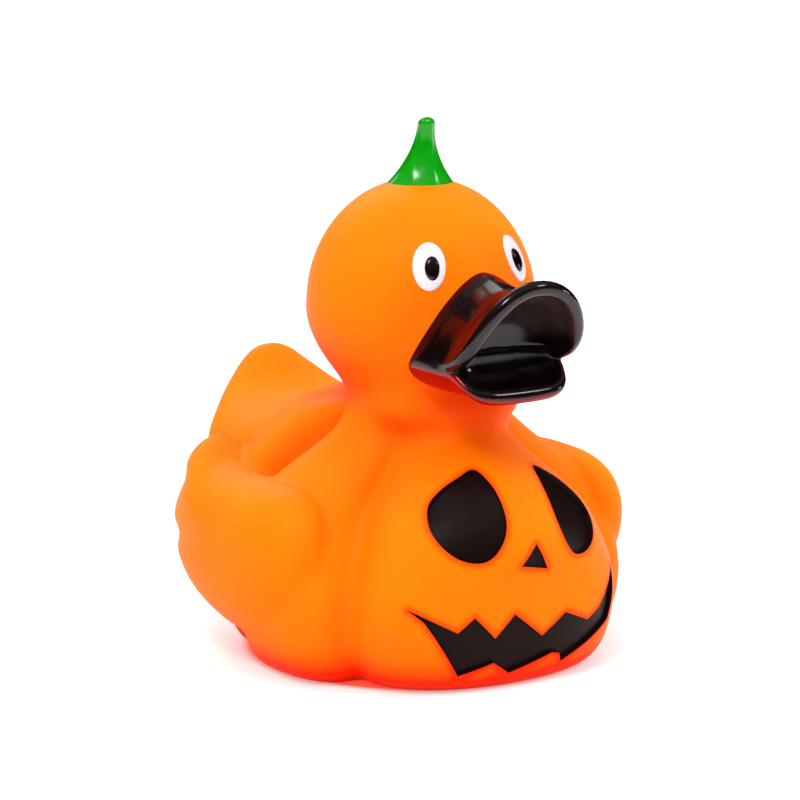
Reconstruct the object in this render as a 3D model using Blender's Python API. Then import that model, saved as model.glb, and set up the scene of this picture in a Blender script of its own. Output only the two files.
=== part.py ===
import math

import bmesh
import bpy
from mathutils import Vector
from mathutils.bvhtree import BVHTree

for thing in list(bpy.data.objects):
    bpy.data.objects.remove(thing, do_unlink=True)

MM = 0.001

# Driving dimensions of the toy
# +Z is up, the duck looks along -Y and the flat base lies on Z = 0.

BODY_REACH_FRONT = 39.5 * MM
BODY_REACH_CORNER = 41.4 * MM
BODY_REACH_SIDE = 36.6 * MM
BODY_REACH_BACK = 38.6 * MM
SHOULDER_HEIGHT = 46.3 * MM

NECK_RADIUS = 15.4 * MM
NECK_FORWARD = 5.4 * MM
HEAD_RADIUS = 21.2 * MM
HEAD_FORWARD = 3.0 * MM
HEAD_CENTRE_HEIGHT = 65.2 * MM
HEAD_CROWN = 23.3 * MM

STEM_TIP_HEIGHT = 99.6 * MM
STEM_FOOT_HEIGHT = 86.2 * MM
STEM_FOOT_RADIUS = 7.2 * MM
STEM_TIP_RADIUS = 1.5 * MM
STEM_FOOT_FORWARD = 3.4 * MM
STEM_TIP_FORWARD = 5.0 * MM
STEM_RIBS = 5
STEM_RIB_DEPTH = 0.10

WING_HALF_LENGTH = 23.6 * MM
WING_HALF_HEIGHT = 17.4 * MM
WING_BACK = 3.6 * MM
WING_HEIGHT = 22.0 * MM
WING_SPREAD = 33.6 * MM
WING_HALF_THICKNESS = 8.0 * MM
WING_WRAP = 4.5 * MM
FEATHER_GROOVE = 1.1 * MM

TAIL_HALF_WIDTH = 19.0 * MM
TAIL_TIP_BACK = 52.0 * MM
TAIL_TIP_HEIGHT = 49.4 * MM
TAIL_HALF_THICKNESS = 7.0 * MM

BILL_HALF_WIDTH = 12.7 * MM
BILL_LIP_HALF_WIDTH = 12.5 * MM
BILL_REACH = 41.8 * MM
BILL_ROOT_TOP = 73.4 * MM
BILL_LIP_TOP = 74.2 * MM
BILL_SADDLE_TOP = 71.6 * MM
BILL_MOUTH_LINE = 58.2 * MM
LIP_THICKNESS = 2.4 * MM
JAW_BOTTOM = 51.3 * MM
JAW_HALF_WIDTH = 13.0 * MM
JAW_REACH = 36.6 * MM
JAW_LIP_START = 28.5 * MM
JAW_LIP_FALL = 5.6 * MM
THROAT_DEPTH = 2.0 * MM
DISH_RIM = 59.6 * MM
DISH_FLOOR = 53.2 * MM
DISH_HALF_WIDTH = 10.3 * MM
DISH_HALF_LENGTH = 7.4 * MM
DISH_FORWARD = 34.2 * MM

# How peaked the bill's arches are: 1 is round and 2 a straight-sided tent
ROOT_PEAK = 1.2
LIP_PEAK = 1.02
LIP_CURL = 1.4

DUCK_EYE_ACROSS = 9.4 * MM
DUCK_EYE_HEIGHT = 74.9 * MM
DUCK_EYE_HALF_WIDTH = 3.0 * MM
DUCK_EYE_HALF_HEIGHT = 4.5 * MM
DUCK_EYE_RELIEF = 0.35 * MM
PUPIL_HALF_WIDTH = 1.35 * MM
PUPIL_HALF_HEIGHT = 2.15 * MM
PUPIL_RELIEF = 0.8 * MM

CARVED_FACE_HEIGHT = 26.0 * MM
CARVED_EYE_DEPTH = 1.5 * MM
CARVED_NOSE_DEPTH = 0.8 * MM
CARVED_MOUTH_DEPTH = 0.8 * MM
CARVING_MARGIN = 1.5 * MM
GRIN_COLUMN = 2.5 * MM

WALL = 2.6 * MM
VENT_RADIUS = 4.0 * MM

# How finely the moulded surface is drawn
MOULD_GRAIN = 0.9 * MM
BILL_GRAIN = 0.5 * MM
CAVITY_GRAIN = 2.0 * MM
OUTER_TRIANGLES = 5200
BILL_TRIANGLES = 3000
CAVITY_TRIANGLES = 1300

# Rings of the pumpkin body, from the base to the shoulder. Each row is a share of the
# shoulder height, then shares of the reach to the front, corner, side and back.
BODY_RINGS = (
    (-0.010, 0.815, 0.780, 0.800, 0.740),
    (0.020, 0.905, 0.880, 0.900, 0.815),
    (0.080, 0.945, 0.945, 0.950, 0.880),
    (0.175, 0.970, 0.985, 0.990, 0.945),
    (0.300, 0.993, 1.000, 1.010, 0.980),
    (0.430, 1.000, 0.968, 1.010, 1.000),
    (0.560, 1.025, 0.885, 0.980, 0.998),
    (0.670, 0.985, 0.790, 0.905, 0.975),
    (0.775, 0.885, 0.640, 0.775, 0.915),
    (0.860, 0.740, 0.505, 0.635, 0.835),
    (0.935, 0.610, 0.435, 0.520, 0.740),
    (1.000, 0.535, 0.435, 0.450, 0.590),
)
RING_ANGLES = (0.0, 50.0, 92.0, 180.0)

# Pumpkin creases: degrees from the front and depth, and how squarely each lobe bulges
CREASES = ((52.0, 4.2 * MM), (108.0, 6.6 * MM), (160.0, 5.0 * MM))
LOBE_SQUARENESS = 3.0

# Neck and lower head: share of the way from shoulder to head centre, then share of the
# way from the neck's radius to the head's radius.
NECK_RINGS = ((0.10, 0.0), (0.20, 0.02), (0.32, 0.19), (0.48, 0.50),
              (0.64, 0.76), (0.82, 0.95))

# Wing outline, as shares of its half length and half height: tip first, then down
# the three feather ends, along the belly and back over the shoulder edge.
WING_OUTLINE = (
    (0.86, 1.05), (1.04, 0.88), (0.98, 0.56), (1.06, 0.22), (1.00, -0.10), (0.96, -0.36),
    (0.72, -0.72), (0.28, -0.97), (-0.25, -1.02), (-0.68, -0.80), (-0.95, -0.35),
    (-1.02, 0.15), (-0.92, 0.52), (-0.62, 0.72), (-0.20, 0.77), (0.20, 0.76), (0.48, 0.81),
    (0.68, 0.94),
)
FEATHER_GROOVES = (((0.98, 0.56), (0.40, 0.62)), ((0.98, -0.05), (0.25, 0.10)))

# Tail: points along its spine as (back, height) shares of the tip's, then the share
# of the half width and of the half thickness there.
TAIL_SPINE = (
    (0.360, 0.500, 1.12, 3.00), (0.540, 0.512, 1.12, 2.70), (0.692, 0.593, 1.05, 2.17),
    (0.822, 0.692, 0.94, 1.50), (0.914, 0.800, 0.77, 0.99), (0.965, 0.893, 0.55, 0.66),
    (0.987, 0.955, 0.35, 0.46),
)

# Carved face, seen from the front as (across, height) in millimetres. The eye is the
# one on the +X side; the other mirrors it. The mouth has an upper and a lower edge.
CARVED_EYE = ((6.4, 38.7), (9.5, 37.4), (12.8, 35.4), (15.8, 32.6), (17.1, 29.6), (16.6, 27.0),
              (14.6, 24.8), (11.8, 23.9), (9.2, 24.4), (7.0, 26.8), (5.5, 30.2), (5.1, 33.6),
              (5.3, 36.8))
CARVED_NOSE = ((-0.1, 27.0), (-1.5, 25.2), (-2.9, 23.2), (-0.2, 22.7), (2.7, 22.1), (1.3, 24.6))
CARVED_TOP_LIP = ((-22.5, 16.4), (-14.7, 12.0), (-11.7, 14.6), (-7.5, 10.3), (-3.8, 14.4),
                  (2.6, 9.4), (7.6, 13.1), (13.6, 10.5), (16.7, 12.1), (22.8, 18.6))
CARVED_LOW_LIP = ((-22.5, 16.4), (-20.2, 14.2), (-13.6, 3.6), (-7.2, 5.6), (-3.6, 3.1),
                  (5.5, 5.7), (7.3, 5.2), (8.0, 3.5), (13.8, 5.8), (20.8, 8.8), (22.0, 12.1),
                  (22.8, 18.6))
FACE_TILT = 3.0


def spline(keys, values, x):
    """A smooth curve through (key, value) pairs, level at both ends."""
    if x <= keys[0]:
        return values[0]
    if x >= keys[-1]:
        return values[-1]
    i = next(k for k in range(len(keys) - 1) if x <= keys[k + 1])
    span = keys[i + 1] - keys[i]

    def slope(k):
        if k == 0 or k == len(keys) - 1:
            return 0.0
        return (values[k + 1] - values[k - 1]) / (keys[k + 1] - keys[k - 1])

    t = (x - keys[i]) / span
    return ((2 * t**3 - 3 * t**2 + 1) * values[i] + (t**3 - 2 * t**2 + t) * span * slope(i)
            + (3 * t**2 - 2 * t**3) * values[i + 1] + (t**3 - t**2) * span * slope(i + 1))


def catmull(points, steps, closed=False):
    """Points along a smooth curve through the given points, of any dimension."""
    count = len(points)
    spans = count if closed else count - 1
    result = []
    for i in range(spans):
        if closed:
            a, b, c, d = (points[(i + k) % count] for k in (-1, 0, 1, 2))
        else:
            a, b, c, d = (points[min(max(i + k, 0), count - 1)] for k in (-1, 0, 1, 2))
        for s in range(steps):
            t = s / steps
            result.append(tuple(
                0.5 * (2 * q + (r - p) * t + (2 * p - 5 * q + 4 * r - u) * t * t
                       + (3 * q - p - 3 * r + u) * t**3)
                for p, q, r, u in zip(a, b, c, d)))
    if not closed:
        result.append(tuple(points[-1]))
    return result


def make_object(name, bm):
    """A new object from a bmesh, with its faces pointing out."""
    bmesh.ops.recalc_face_normals(bm, faces=bm.faces)
    mesh = bpy.data.meshes.new(name)
    bm.to_mesh(mesh)
    bm.free()
    item = bpy.data.objects.new(name, mesh)
    bpy.context.collection.objects.link(item)
    return item


def loft(name, rings, start_point=None, end_point=None):
    """A closed skin over rings of equal count, its ends flat or drawn to a point."""
    bm = bmesh.new()
    rows = [[bm.verts.new(p) for p in ring] for ring in rings]
    count = len(rows[0])
    for lower, upper in zip(rows, rows[1:]):
        for i in range(count):
            j = (i + 1) % count
            bm.faces.new((lower[i], lower[j], upper[j], upper[i]))
    for row, tip in ((rows[0], start_point), (rows[-1], end_point)):
        if tip is None:
            bm.faces.new(row)
        else:
            top = bm.verts.new(tip)
            for i in range(count):
                bm.faces.new((row[i], row[(i + 1) % count], top))
    return make_object(name, bm)


def crease_drop(degrees):
    """How far the surface falls from the crown of a pumpkin lobe towards its creases."""
    edges = [(-angle, depth) for angle, depth in reversed(CREASES)] + list(CREASES)
    edges.append((360.0 - CREASES[-1][0], CREASES[-1][1]))
    angle = degrees if degrees <= 180.0 else degrees - 360.0
    if angle < edges[0][0]:
        angle += 360.0
    for (a, left), (b, right) in zip(edges, edges[1:]):
        if a <= angle <= b:
            across = 2.0 * (angle - a) / (b - a) - 1.0
            return (left if across < 0.0 else right) * abs(across) ** LOBE_SQUARENESS
    return 0.0


def trunk_rows():
    """Every ring as height, forward shift, four reaches and the lobes' share."""
    reaches = (BODY_REACH_FRONT, BODY_REACH_CORNER, BODY_REACH_SIDE, BODY_REACH_BACK)
    rows = []
    for share, *spread in BODY_RINGS:
        shift = NECK_FORWARD * spline((0.6, 1.0), (0.0, 0.9), share)
        lean = (-shift, -0.6 * shift, 0.0, shift)
        radii = [s * r + k for s, r, k in zip(spread, reaches, lean)]
        lobes = spline((0.86, 1.03), (1.0, 0.0), share)
        rows.append((share * SHOULDER_HEIGHT, shift, *radii, lobes))
    rise = HEAD_CENTRE_HEIGHT - SHOULDER_HEIGHT
    for up, out in NECK_RINGS:
        radius = NECK_RADIUS + out * (HEAD_RADIUS - NECK_RADIUS)
        shift = NECK_FORWARD + out * (HEAD_FORWARD - NECK_FORWARD)
        rows.append((SHOULDER_HEIGHT + up * rise, shift, *([radius] * 4), 0.0))
    for degrees in range(0, 90, 15):
        turn = math.radians(degrees)
        radius = HEAD_RADIUS * math.cos(turn)
        rows.append((HEAD_CENTRE_HEIGHT + HEAD_CROWN * math.sin(turn), HEAD_FORWARD,
                     *([radius] * 4), 0.0))
    return rows


def make_trunk(name, around, steps, inset=0.0):
    """Body, neck and head as one loft, drawn in by the inset all round."""
    rings = []
    for height, shift, front, corner, side, back, lobes in catmull(trunk_rows(), steps):
        if inset and height < inset:
            continue
        ring = []
        for i in range(around):
            degrees = 360.0 * i / around
            fold = min(degrees, 360.0 - degrees)
            radius = spline(RING_ANGLES, (front, corner, side, back), fold)
            radius -= lobes * crease_drop(degrees) + inset
            turn = math.radians(degrees)
            ring.append((radius * math.sin(turn), -shift - radius * math.cos(turn), height))
        if min(math.hypot(x, y + shift) for x, y, _ in ring) > inset + 0.5 * MM:
            rings.append(ring)
    crown = (0.0, -HEAD_FORWARD, HEAD_CENTRE_HEIGHT + HEAD_CROWN - inset)
    rings = [ring for ring in rings if ring[0][2] < crown[2] - 0.2 * MM]
    return loft(name, rings, end_point=crown)


def wing_groove(along, up):
    """How deep the valleys between the feathers are at a point of the wing."""
    depth = 0.0
    for (x0, y0), (x1, y1) in FEATHER_GROOVES:
        dx, dy = x1 - x0, y1 - y0
        t = min(max(((along - x0) * dx + (up - y0) * dy) / (dx * dx + dy * dy), 0.0), 1.0)
        away = math.hypot((along - x0 - t * dx) * WING_HALF_LENGTH,
                          (up - y0 - t * dy) * WING_HALF_HEIGHT)
        depth += FEATHER_GROOVE * (1.0 - t) ** 0.7 * math.exp(-(away / (1.7 * MM)) ** 2)
    return depth


def make_wing(name, side, steps, rows, inset=0.0):
    """A folded wing: a domed pad that wraps the body's flank."""
    outline = catmull(WING_OUTLINE, steps, closed=True)
    half = WING_HALF_THICKNESS - inset
    shrink = 1.0 - inset / WING_HALF_HEIGHT

    def place(share, along, up, outer):
        along, up = along * share, up * share
        dome = half * (1.0 - share**2.6) ** 0.5
        if outer:
            dome -= min(wing_groove(along, up), dome) if not inset else 0.0
        mid = WING_SPREAD - WING_WRAP * (0.55 if along < 0.0 else 0.45) * along * along
        mid -= WING_WRAP * up * up
        x = mid + (dome if outer else -dome)
        return (side * x, WING_BACK + along * WING_HALF_LENGTH * shrink,
                WING_HEIGHT + up * WING_HALF_HEIGHT * shrink)

    levels = [math.sin(0.5 * math.pi * k / rows) for k in range(1, rows + 1)]
    rings = [[place(s, a, u, True) for a, u in outline] for s in levels]
    rings += [[place(s, a, u, False) for a, u in outline] for s in reversed(levels[:-1])]
    return loft(name, rings, place(0.0, 0.0, 0.0, True), place(0.0, 0.0, 0.0, False))


def make_tail(name, around, steps, inset=0.0):
    """The upturned tail: ovals strung along a rising spine."""
    spine = catmull(TAIL_SPINE, steps)
    rings = []
    for i, (back, up, wide, thick) in enumerate(spine):
        after = spine[min(i + 1, len(spine) - 1)]
        before = spine[max(i - 1, 0)]
        run = Vector(((after[0] - before[0]) * TAIL_TIP_BACK,
                      (after[1] - before[1]) * TAIL_TIP_HEIGHT)).normalized()
        width = max(wide * TAIL_HALF_WIDTH - inset, 0.5 * MM)
        depth = max(thick * TAIL_HALF_THICKNESS - inset, 0.5 * MM)
        ring = []
        for k in range(around):
            turn = 2.0 * math.pi * k / around
            x, out = width * math.cos(turn), depth * math.sin(turn)
            ring.append((x, back * TAIL_TIP_BACK + out * run.y,
                         up * TAIL_TIP_HEIGHT - out * run.x))
        rings.append(ring)
    tip = (0.0, TAIL_TIP_BACK - inset, TAIL_TIP_HEIGHT - inset)
    return loft(name, rings, end_point=tip)


def make_stem(name, around, rows):
    """The pumpkin stem on the crown: flared, ribbed and leaning a little forward."""
    flare = STEM_FOOT_RADIUS - STEM_TIP_RADIUS
    rings = []
    for k in range(rows + 1):
        share = k / rows
        radius = STEM_TIP_RADIUS + flare * (1.0 - share) ** 2.2
        radius *= 1.0 - max(share - 0.88, 0.0) ** 2 * 24.0
        forward = STEM_FOOT_FORWARD + share * (STEM_TIP_FORWARD - STEM_FOOT_FORWARD)
        height = STEM_FOOT_HEIGHT + share * (STEM_TIP_HEIGHT - 0.5 * MM - STEM_FOOT_HEIGHT)
        ring = []
        for i in range(around):
            turn = 2.0 * math.pi * i / around
            ribbed = radius * (1.0 + STEM_RIB_DEPTH * math.cos(STEM_RIBS * turn))
            ring.append((ribbed * math.sin(turn), -forward - ribbed * math.cos(turn), height))
        rings.append(ring)
    return loft(name, rings, end_point=(0.0, -STEM_TIP_FORWARD, STEM_TIP_HEIGHT))


def bill_rows():
    """Upper bill, from inside the head to the lip: half width, top, foot, the reach
    forward at the foot and at the top, and how peaked the arch is."""
    root = HEAD_FORWARD + HEAD_RADIUS
    foot = BILL_MOUTH_LINE
    saddle = 0.5 * (BILL_SADDLE_TOP + BILL_ROOT_TOP)
    lip_side = 0.5 * (BILL_HALF_WIDTH + BILL_LIP_HALF_WIDTH)
    peak, lip_peak = ROOT_PEAK, LIP_PEAK
    return (
        (0.96 * BILL_HALF_WIDTH, BILL_ROOT_TOP - 1.0 * MM, foot,
         root - 13.0 * MM, root - 13.0 * MM, peak),
        (BILL_HALF_WIDTH, BILL_ROOT_TOP, foot - 0.4 * MM, root - 5.7 * MM, root - 1.7 * MM,
         peak),
        (BILL_HALF_WIDTH, saddle, foot - 0.5 * MM, root - 1.2 * MM, root + 2.8 * MM, peak),
        (0.98 * BILL_HALF_WIDTH, BILL_SADDLE_TOP, foot - 0.5 * MM, BILL_REACH - 14.0 * MM,
         BILL_REACH - 9.5 * MM, 0.5 * (peak + lip_peak)),
        (lip_side, 0.75 * BILL_SADDLE_TOP + 0.25 * BILL_LIP_TOP, foot - 0.2 * MM,
         BILL_REACH - 10.5 * MM, BILL_REACH - 4.5 * MM, lip_peak),
        (BILL_LIP_HALF_WIDTH, BILL_LIP_TOP, foot + 0.4 * MM, BILL_REACH - 7.0 * MM,
         BILL_REACH, lip_peak),
    )


def arch_ring(half_width, top, foot, y_foot, y_top, peak, count, inset=0.0):
    """One arch of the upper bill, its front edge curling forward as it climbs."""
    ring = []
    for k in range(count + 1):
        turn = math.pi * k / count
        rise = max(math.sin(turn), 0.0)
        side = math.copysign(abs(math.cos(turn)) ** peak, math.cos(turn))
        reach = y_foot + (y_top - y_foot) * (1.0 - (1.0 - rise) ** LIP_CURL)
        ring.append(((inset - half_width) * side, -reach,
                     foot + (top - inset - foot) * rise ** (peak + 0.2)))
    return ring


def make_upper_bill(name, count, steps):
    """The upper bill as a solid, before the mouth opens it."""
    return loft(name, [arch_ring(*row, count) for row in catmull(bill_rows(), steps)])


def make_mouth_roof(name, count, steps):
    """The hollow under the upper bill: its own arches, one lip's thickness inside."""
    throat = HEAD_FORWARD + HEAD_RADIUS + THROAT_DEPTH
    rim = DISH_RIM
    rows = [(half_width, top, rim, y_foot, y_top, peak)
            for half_width, top, _, y_foot, y_top, peak in bill_rows()[3:]]
    half_width, top, _, y_foot, y_top, peak = rows[0]
    rows = [(0.55 * half_width, top - 6.5 * MM, rim, throat, throat + 0.4 * MM, peak),
            (0.88 * half_width, top - 1.8 * MM, rim, throat + 0.8 * MM, throat + 1.8 * MM,
             peak)] + rows
    half_width, top, _, y_foot, y_top, peak = rows[-1]
    rows.append((half_width, top + 0.8 * MM, rim, y_foot + 8.0 * MM, y_top + 8.0 * MM, peak))
    return loft(name, [arch_ring(*row, count, LIP_THICKNESS) for row in catmull(rows, steps)])


def make_dish(name, around, rows):
    """The hollow of the lower bill: a bowl with steep sides."""
    depth = DISH_RIM - DISH_FLOOR
    rings = []
    for k in range(1, rows + 1):
        share = math.sin(0.5 * math.pi * k / rows)
        ring = []
        for i in range(around):
            turn = 2.0 * math.pi * i / around
            c, s = math.cos(turn), math.sin(turn)
            x = DISH_HALF_WIDTH * share * math.copysign(abs(c) ** (1.0 / 1.5), c)
            y = DISH_HALF_LENGTH * share * math.copysign(abs(s) ** (1.0 / 1.5), s)
            drop = depth * (1.0 - share**3.0) ** (1.0 / 3.0)
            ring.append((x, y - DISH_FORWARD, DISH_RIM - drop))
        rings.append(ring)
    rings.append([(x, y, z + 2.0 * MM) for x, y, z in rings[-1]])
    return loft(name, rings, start_point=(0.0, -DISH_FORWARD, DISH_FLOOR))


def make_jaw(name, around, rows):
    """The lower bill: a round-fronted block that the mouth hollows into a scoop."""
    start = HEAD_FORWARD + HEAD_RADIUS - 13.0 * MM
    drop = BILL_MOUTH_LINE - JAW_BOTTOM
    rings = []
    for k in range(rows):
        share = k / rows
        reach = start + (JAW_REACH - start) * math.sin(math.radians(90.0 * share))
        narrow = (1.0 - share**4.5) ** 0.5
        forward = max(reach - JAW_LIP_START, 0.0) / (JAW_REACH - JAW_LIP_START)
        top = BILL_MOUTH_LINE + 0.5 * MM - JAW_LIP_FALL * forward
        middle = top - 0.15 * (top - JAW_BOTTOM)
        ring = []
        for i in range(around):
            spin = 2.0 * math.pi * i / around
            rise = math.sin(spin)
            half = top - middle if rise > 0.0 else middle - JAW_BOTTOM
            x = JAW_HALF_WIDTH * narrow * (0.92 + 0.08 * share) * math.cos(spin)
            ring.append((x, -reach, middle + half * (0.35 + 0.65 * narrow) * rise))
        rings.append(ring)
    tip = 0.5 * (BILL_MOUTH_LINE - JAW_LIP_FALL + JAW_BOTTOM)
    return loft(name, rings, end_point=(0.0, -JAW_REACH, tip))


def keep_as_mesh(item, name):
    """The object as its modifiers leave it, as a plain mesh of its own."""
    seen = item.evaluated_get(bpy.context.evaluated_depsgraph_get())
    mesh = bpy.data.meshes.new_from_object(seen)
    bpy.data.objects.remove(item, do_unlink=True)
    mesh.name = name
    result = bpy.data.objects.new(name, mesh)
    bpy.context.collection.objects.link(result)
    return result


def mould(name, forms, grain, smoothing):
    """Fuse overlapping forms into one skin and soften the creases between them."""
    bm = bmesh.new()
    for form in forms:
        bm.from_mesh(form.data)
    rough = make_object(name + "_forms", bm)
    fuse = rough.modifiers.new("fuse", "REMESH")
    fuse.mode = "VOXEL"
    fuse.voxel_size = grain
    soften = rough.modifiers.new("soften", "SMOOTH")
    soften.factor = 0.5
    soften.iterations = smoothing
    return keep_as_mesh(rough, name)


def thin_out(item, triangles):
    """Merge the smallest triangles until about the wanted number is left."""
    thin = item.modifiers.new("thin", "DECIMATE")
    thin.ratio = min(triangles / (2.0 * len(item.data.polygons)), 1.0)


def drop_specks(item):
    """Keep the largest shell, without the specks that thinning can pinch off."""
    bm = bmesh.new()
    bm.from_mesh(item.data)
    waiting, shells = set(bm.verts), []
    while waiting:
        front = [waiting.pop()]
        shell = set(front)
        while front:
            here = front.pop()
            fresh = {edge.other_vert(here) for edge in here.link_edges} & waiting
            waiting -= fresh
            shell |= fresh
            front += fresh
        shells.append(shell)
    shells.sort(key=len)
    bmesh.ops.delete(bm, geom=[v for shell in shells[:-1] for v in shell], context="VERTS")
    bm.to_mesh(item.data)
    bm.free()


def cut(item, cutter, kind="DIFFERENCE"):
    """A Boolean on the item; the cutter stays in the file as a wire guide."""
    cutter.display_type = "WIRE"
    cutter.hide_render = True
    step = item.modifiers.new(cutter.name, "BOOLEAN")
    step.operation = kind
    step.object = cutter
    step.solver = "EXACT"
    step.material_mode = "TRANSFER"


def surface_of(item):
    """A tree for casting rays on the item's surface and finding its nearest point."""
    return BVHTree.FromObject(item, bpy.context.evaluated_depsgraph_get())


def on_front(tree, across, height):
    """The point and normal met by looking straight at the duck from the front."""
    start = Vector((across, -2.0 * TAIL_TIP_BACK, height))
    point, normal, _, _ = tree.ray_cast(start, Vector((0.0, 1.0, 0.0)))
    return point, normal


def tilted(points):
    """Face points in metres, turned by the slight tilt of the whole face."""
    turn = math.radians(FACE_TILT)
    middle = CARVED_FACE_HEIGHT
    return [(a * MM * math.cos(turn) + (h * MM - middle) * math.sin(turn),
             middle - a * MM * math.sin(turn) + (h * MM - middle) * math.cos(turn))
            for a, h in points]


def carve_shape(name, tree, outline, depth, rings=4):
    """A cutter with a dished floor, inside a closed outline seen from the front."""
    count = len(outline)
    middle = [sum(p[k] for p in outline) / count for k in (0, 1)]
    bm = bmesh.new()

    def row(share, lift):
        verts = []
        for across, height in outline:
            point, normal = on_front(tree, middle[0] + (across - middle[0]) * share,
                                     middle[1] + (height - middle[1]) * share)
            verts.append(bm.verts.new(point + normal * lift))
        return verts

    shares = [1.0 - 0.8 * k / rings for k in range(rings + 1)]
    outer = [row(share, CARVING_MARGIN) for share in (shares[2], shares[0])]
    inner = [row(s, -depth * (0.6 + 0.4 * (1.0 - s**2))) for s in shares]
    bands = [outer, (outer[1], inner[0])] + list(zip(inner, inner[1:]))
    for one, two in bands:
        for i in range(count):
            j = (i + 1) % count
            bm.faces.new((one[i], one[j], two[j], two[i]))
    bm.faces.new(outer[0])
    bm.faces.new(inner[-1])
    return make_object(name, bm)


def edge_height(points, across):
    """Height of a zigzag edge at a place across it."""
    for (x0, z0), (x1, z1) in zip(points, points[1:]):
        if x0 <= across <= x1:
            return z0 + (z1 - z0) * (across - x0) / (x1 - x0)
    return points[-1][1]


def carve_grin(name, tree, depth):
    """The cutter of the zigzag mouth: a strip with a column at every corner."""
    top = [(a * MM, h * MM) for a, h in CARVED_TOP_LIP]
    low = [(a * MM, h * MM) for a, h in CARVED_LOW_LIP]
    corners = sorted({p[0] for p in top + low})
    places = []
    for a, b in zip(corners, corners[1:]):
        parts = max(1, round((b - a) / GRIN_COLUMN))
        places += [a + (b - a) * k / parts for k in range(parts)]
    places.append(corners[-1])
    places[0] += 0.1 * GRIN_COLUMN
    places[-1] -= 0.1 * GRIN_COLUMN
    bm = bmesh.new()
    outer, inner = [], []
    for x in places:
        bottom, height = edge_height(low, x), edge_height(top, x) - edge_height(low, x)
        hits = [on_front(tree, x, bottom + height * k / 3.0) for k in range(4)]
        outer.append([bm.verts.new(p + n * CARVING_MARGIN) for p, n in hits])
        inner.append([bm.verts.new(p - n * depth) for p, n in hits])
    last = len(places) - 1
    for grid in (outer, inner):
        for c in range(last):
            for r in range(3):
                bm.faces.new((grid[c][r], grid[c + 1][r], grid[c + 1][r + 1], grid[c][r + 1]))
    rim = [(c, 0) for c in range(last + 1)] + [(last, 1), (last, 2)]
    rim += [(c, 3) for c in range(last, -1, -1)] + [(0, 2), (0, 1)]
    for (c0, r0), (c1, r1) in zip(rim, rim[1:] + rim[:1]):
        bm.faces.new((outer[c0][r0], outer[c1][r1], inner[c1][r1], inner[c0][r0]))
    return make_object(name, bm)


def oval_dome(name, tree, across, half_width, half_height, relief):
    """A low oval bump on the head, facing the way the surface faces there."""
    point, normal = on_front(tree, across, DUCK_EYE_HEIGHT)
    side = Vector((0.0, 0.0, 1.0)).cross(normal).normalized()
    up = normal.cross(side).normalized()
    rings = []
    for degrees in (-60, -25, 5, 35, 65):
        turn = math.radians(degrees)
        wide, tall = half_width * math.cos(turn), half_height * math.cos(turn)
        lift = relief * math.sin(turn) if degrees > 0 else 1.2 * MM * math.sin(turn)
        ring = []
        for k in range(20):
            spin = 2.0 * math.pi * k / 20
            ring.append(point + side * wide * math.cos(spin) + up * tall * math.sin(spin)
                        + normal * lift)
        rings.append(ring)
    return loft(name, rings, end_point=point + normal * relief)


def upright_drum(name, radius, low, high, sides=32):
    """A plain round cutter standing on the axis of the base."""
    turns = [2.0 * math.pi * k / sides for k in range(sides)]
    return loft(name, [[(radius * math.cos(t), radius * math.sin(t), z) for t in turns]
                       for z in (low, high)])


def paint(name, colour, roughness):
    """A plain coating: its colour and how glossy it is."""
    material = bpy.data.materials.new(name)
    material.use_nodes = True
    shader = material.node_tree.nodes["Principled BSDF"]
    shader.inputs["Base Color"].default_value = (*colour, 1.0)
    shader.inputs["Roughness"].default_value = roughness
    shader.inputs["Metallic"].default_value = 0.0
    return material


vinyl = paint("orange_vinyl", (1.0, 0.262, 0.0), 0.45)
bill_paint = paint("black_gloss_paint", (0.006, 0.003, 0.003), 0.12)
stem_paint = paint("green_gloss_paint", (0.0, 0.34, 0.02), 0.20)
carving_paint = paint("black_satin_paint", (0.010, 0.006, 0.006), 0.40)
eye_paint = paint("white_paint", (0.90, 0.87, 0.90), 0.35)

# Outer forms, fused and softened into one skin
trunk = make_trunk("trunk_form", 96, 3)
wings = [make_wing("wing_form", side, 5, 7) for side in (-1, 1)]
tail = make_tail("tail_form", 36, 4)
duck = mould("duck_body", [trunk, *wings, tail], MOULD_GRAIN, 3)
duck.data.materials.append(vinyl)
chest = surface_of(trunk)
thin_out(duck, OUTER_TRIANGLES)

# The bill, opened by the mouth and softened on its own so that its lips stay round
upper_bill = make_upper_bill("upper_bill_form", 28, 5)
jaw = make_jaw("jaw_form", 32, 16)
for hollow_part in (make_mouth_roof("mouth_roof", 28, 4), make_dish("dish", 32, 8)):
    cut(upper_bill, hollow_part)
    cut(jaw, hollow_part)
upper_bill = keep_as_mesh(upper_bill, "upper_bill_shell")
jaw = keep_as_mesh(jaw, "jaw_shell")
bill = mould("bill", (upper_bill, jaw), BILL_GRAIN, 3)
thin_out(bill, BILL_TRIANGLES)
bill = keep_as_mesh(bill, "bill")
bill.data.materials.append(bill_paint)
stem = make_stem("stem", 20, 9)
stem.data.materials.append(stem_paint)
cut(duck, bill, "UNION")
cut(duck, stem, "UNION")

# The hollow follows the same forms, one wall inside them
hollow_forms = [make_trunk("trunk_hollow", 48, 2, WALL)]
hollow_forms += [make_wing("wing_hollow", side, 3, 5, WALL) for side in (-1, 1)]
hollow_forms.append(make_tail("tail_hollow", 24, 3, WALL))
hollow = mould("hollow", hollow_forms, CAVITY_GRAIN, 2)
thin_out(hollow, CAVITY_TRIANGLES)
hollow = keep_as_mesh(hollow, "hollow")

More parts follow.
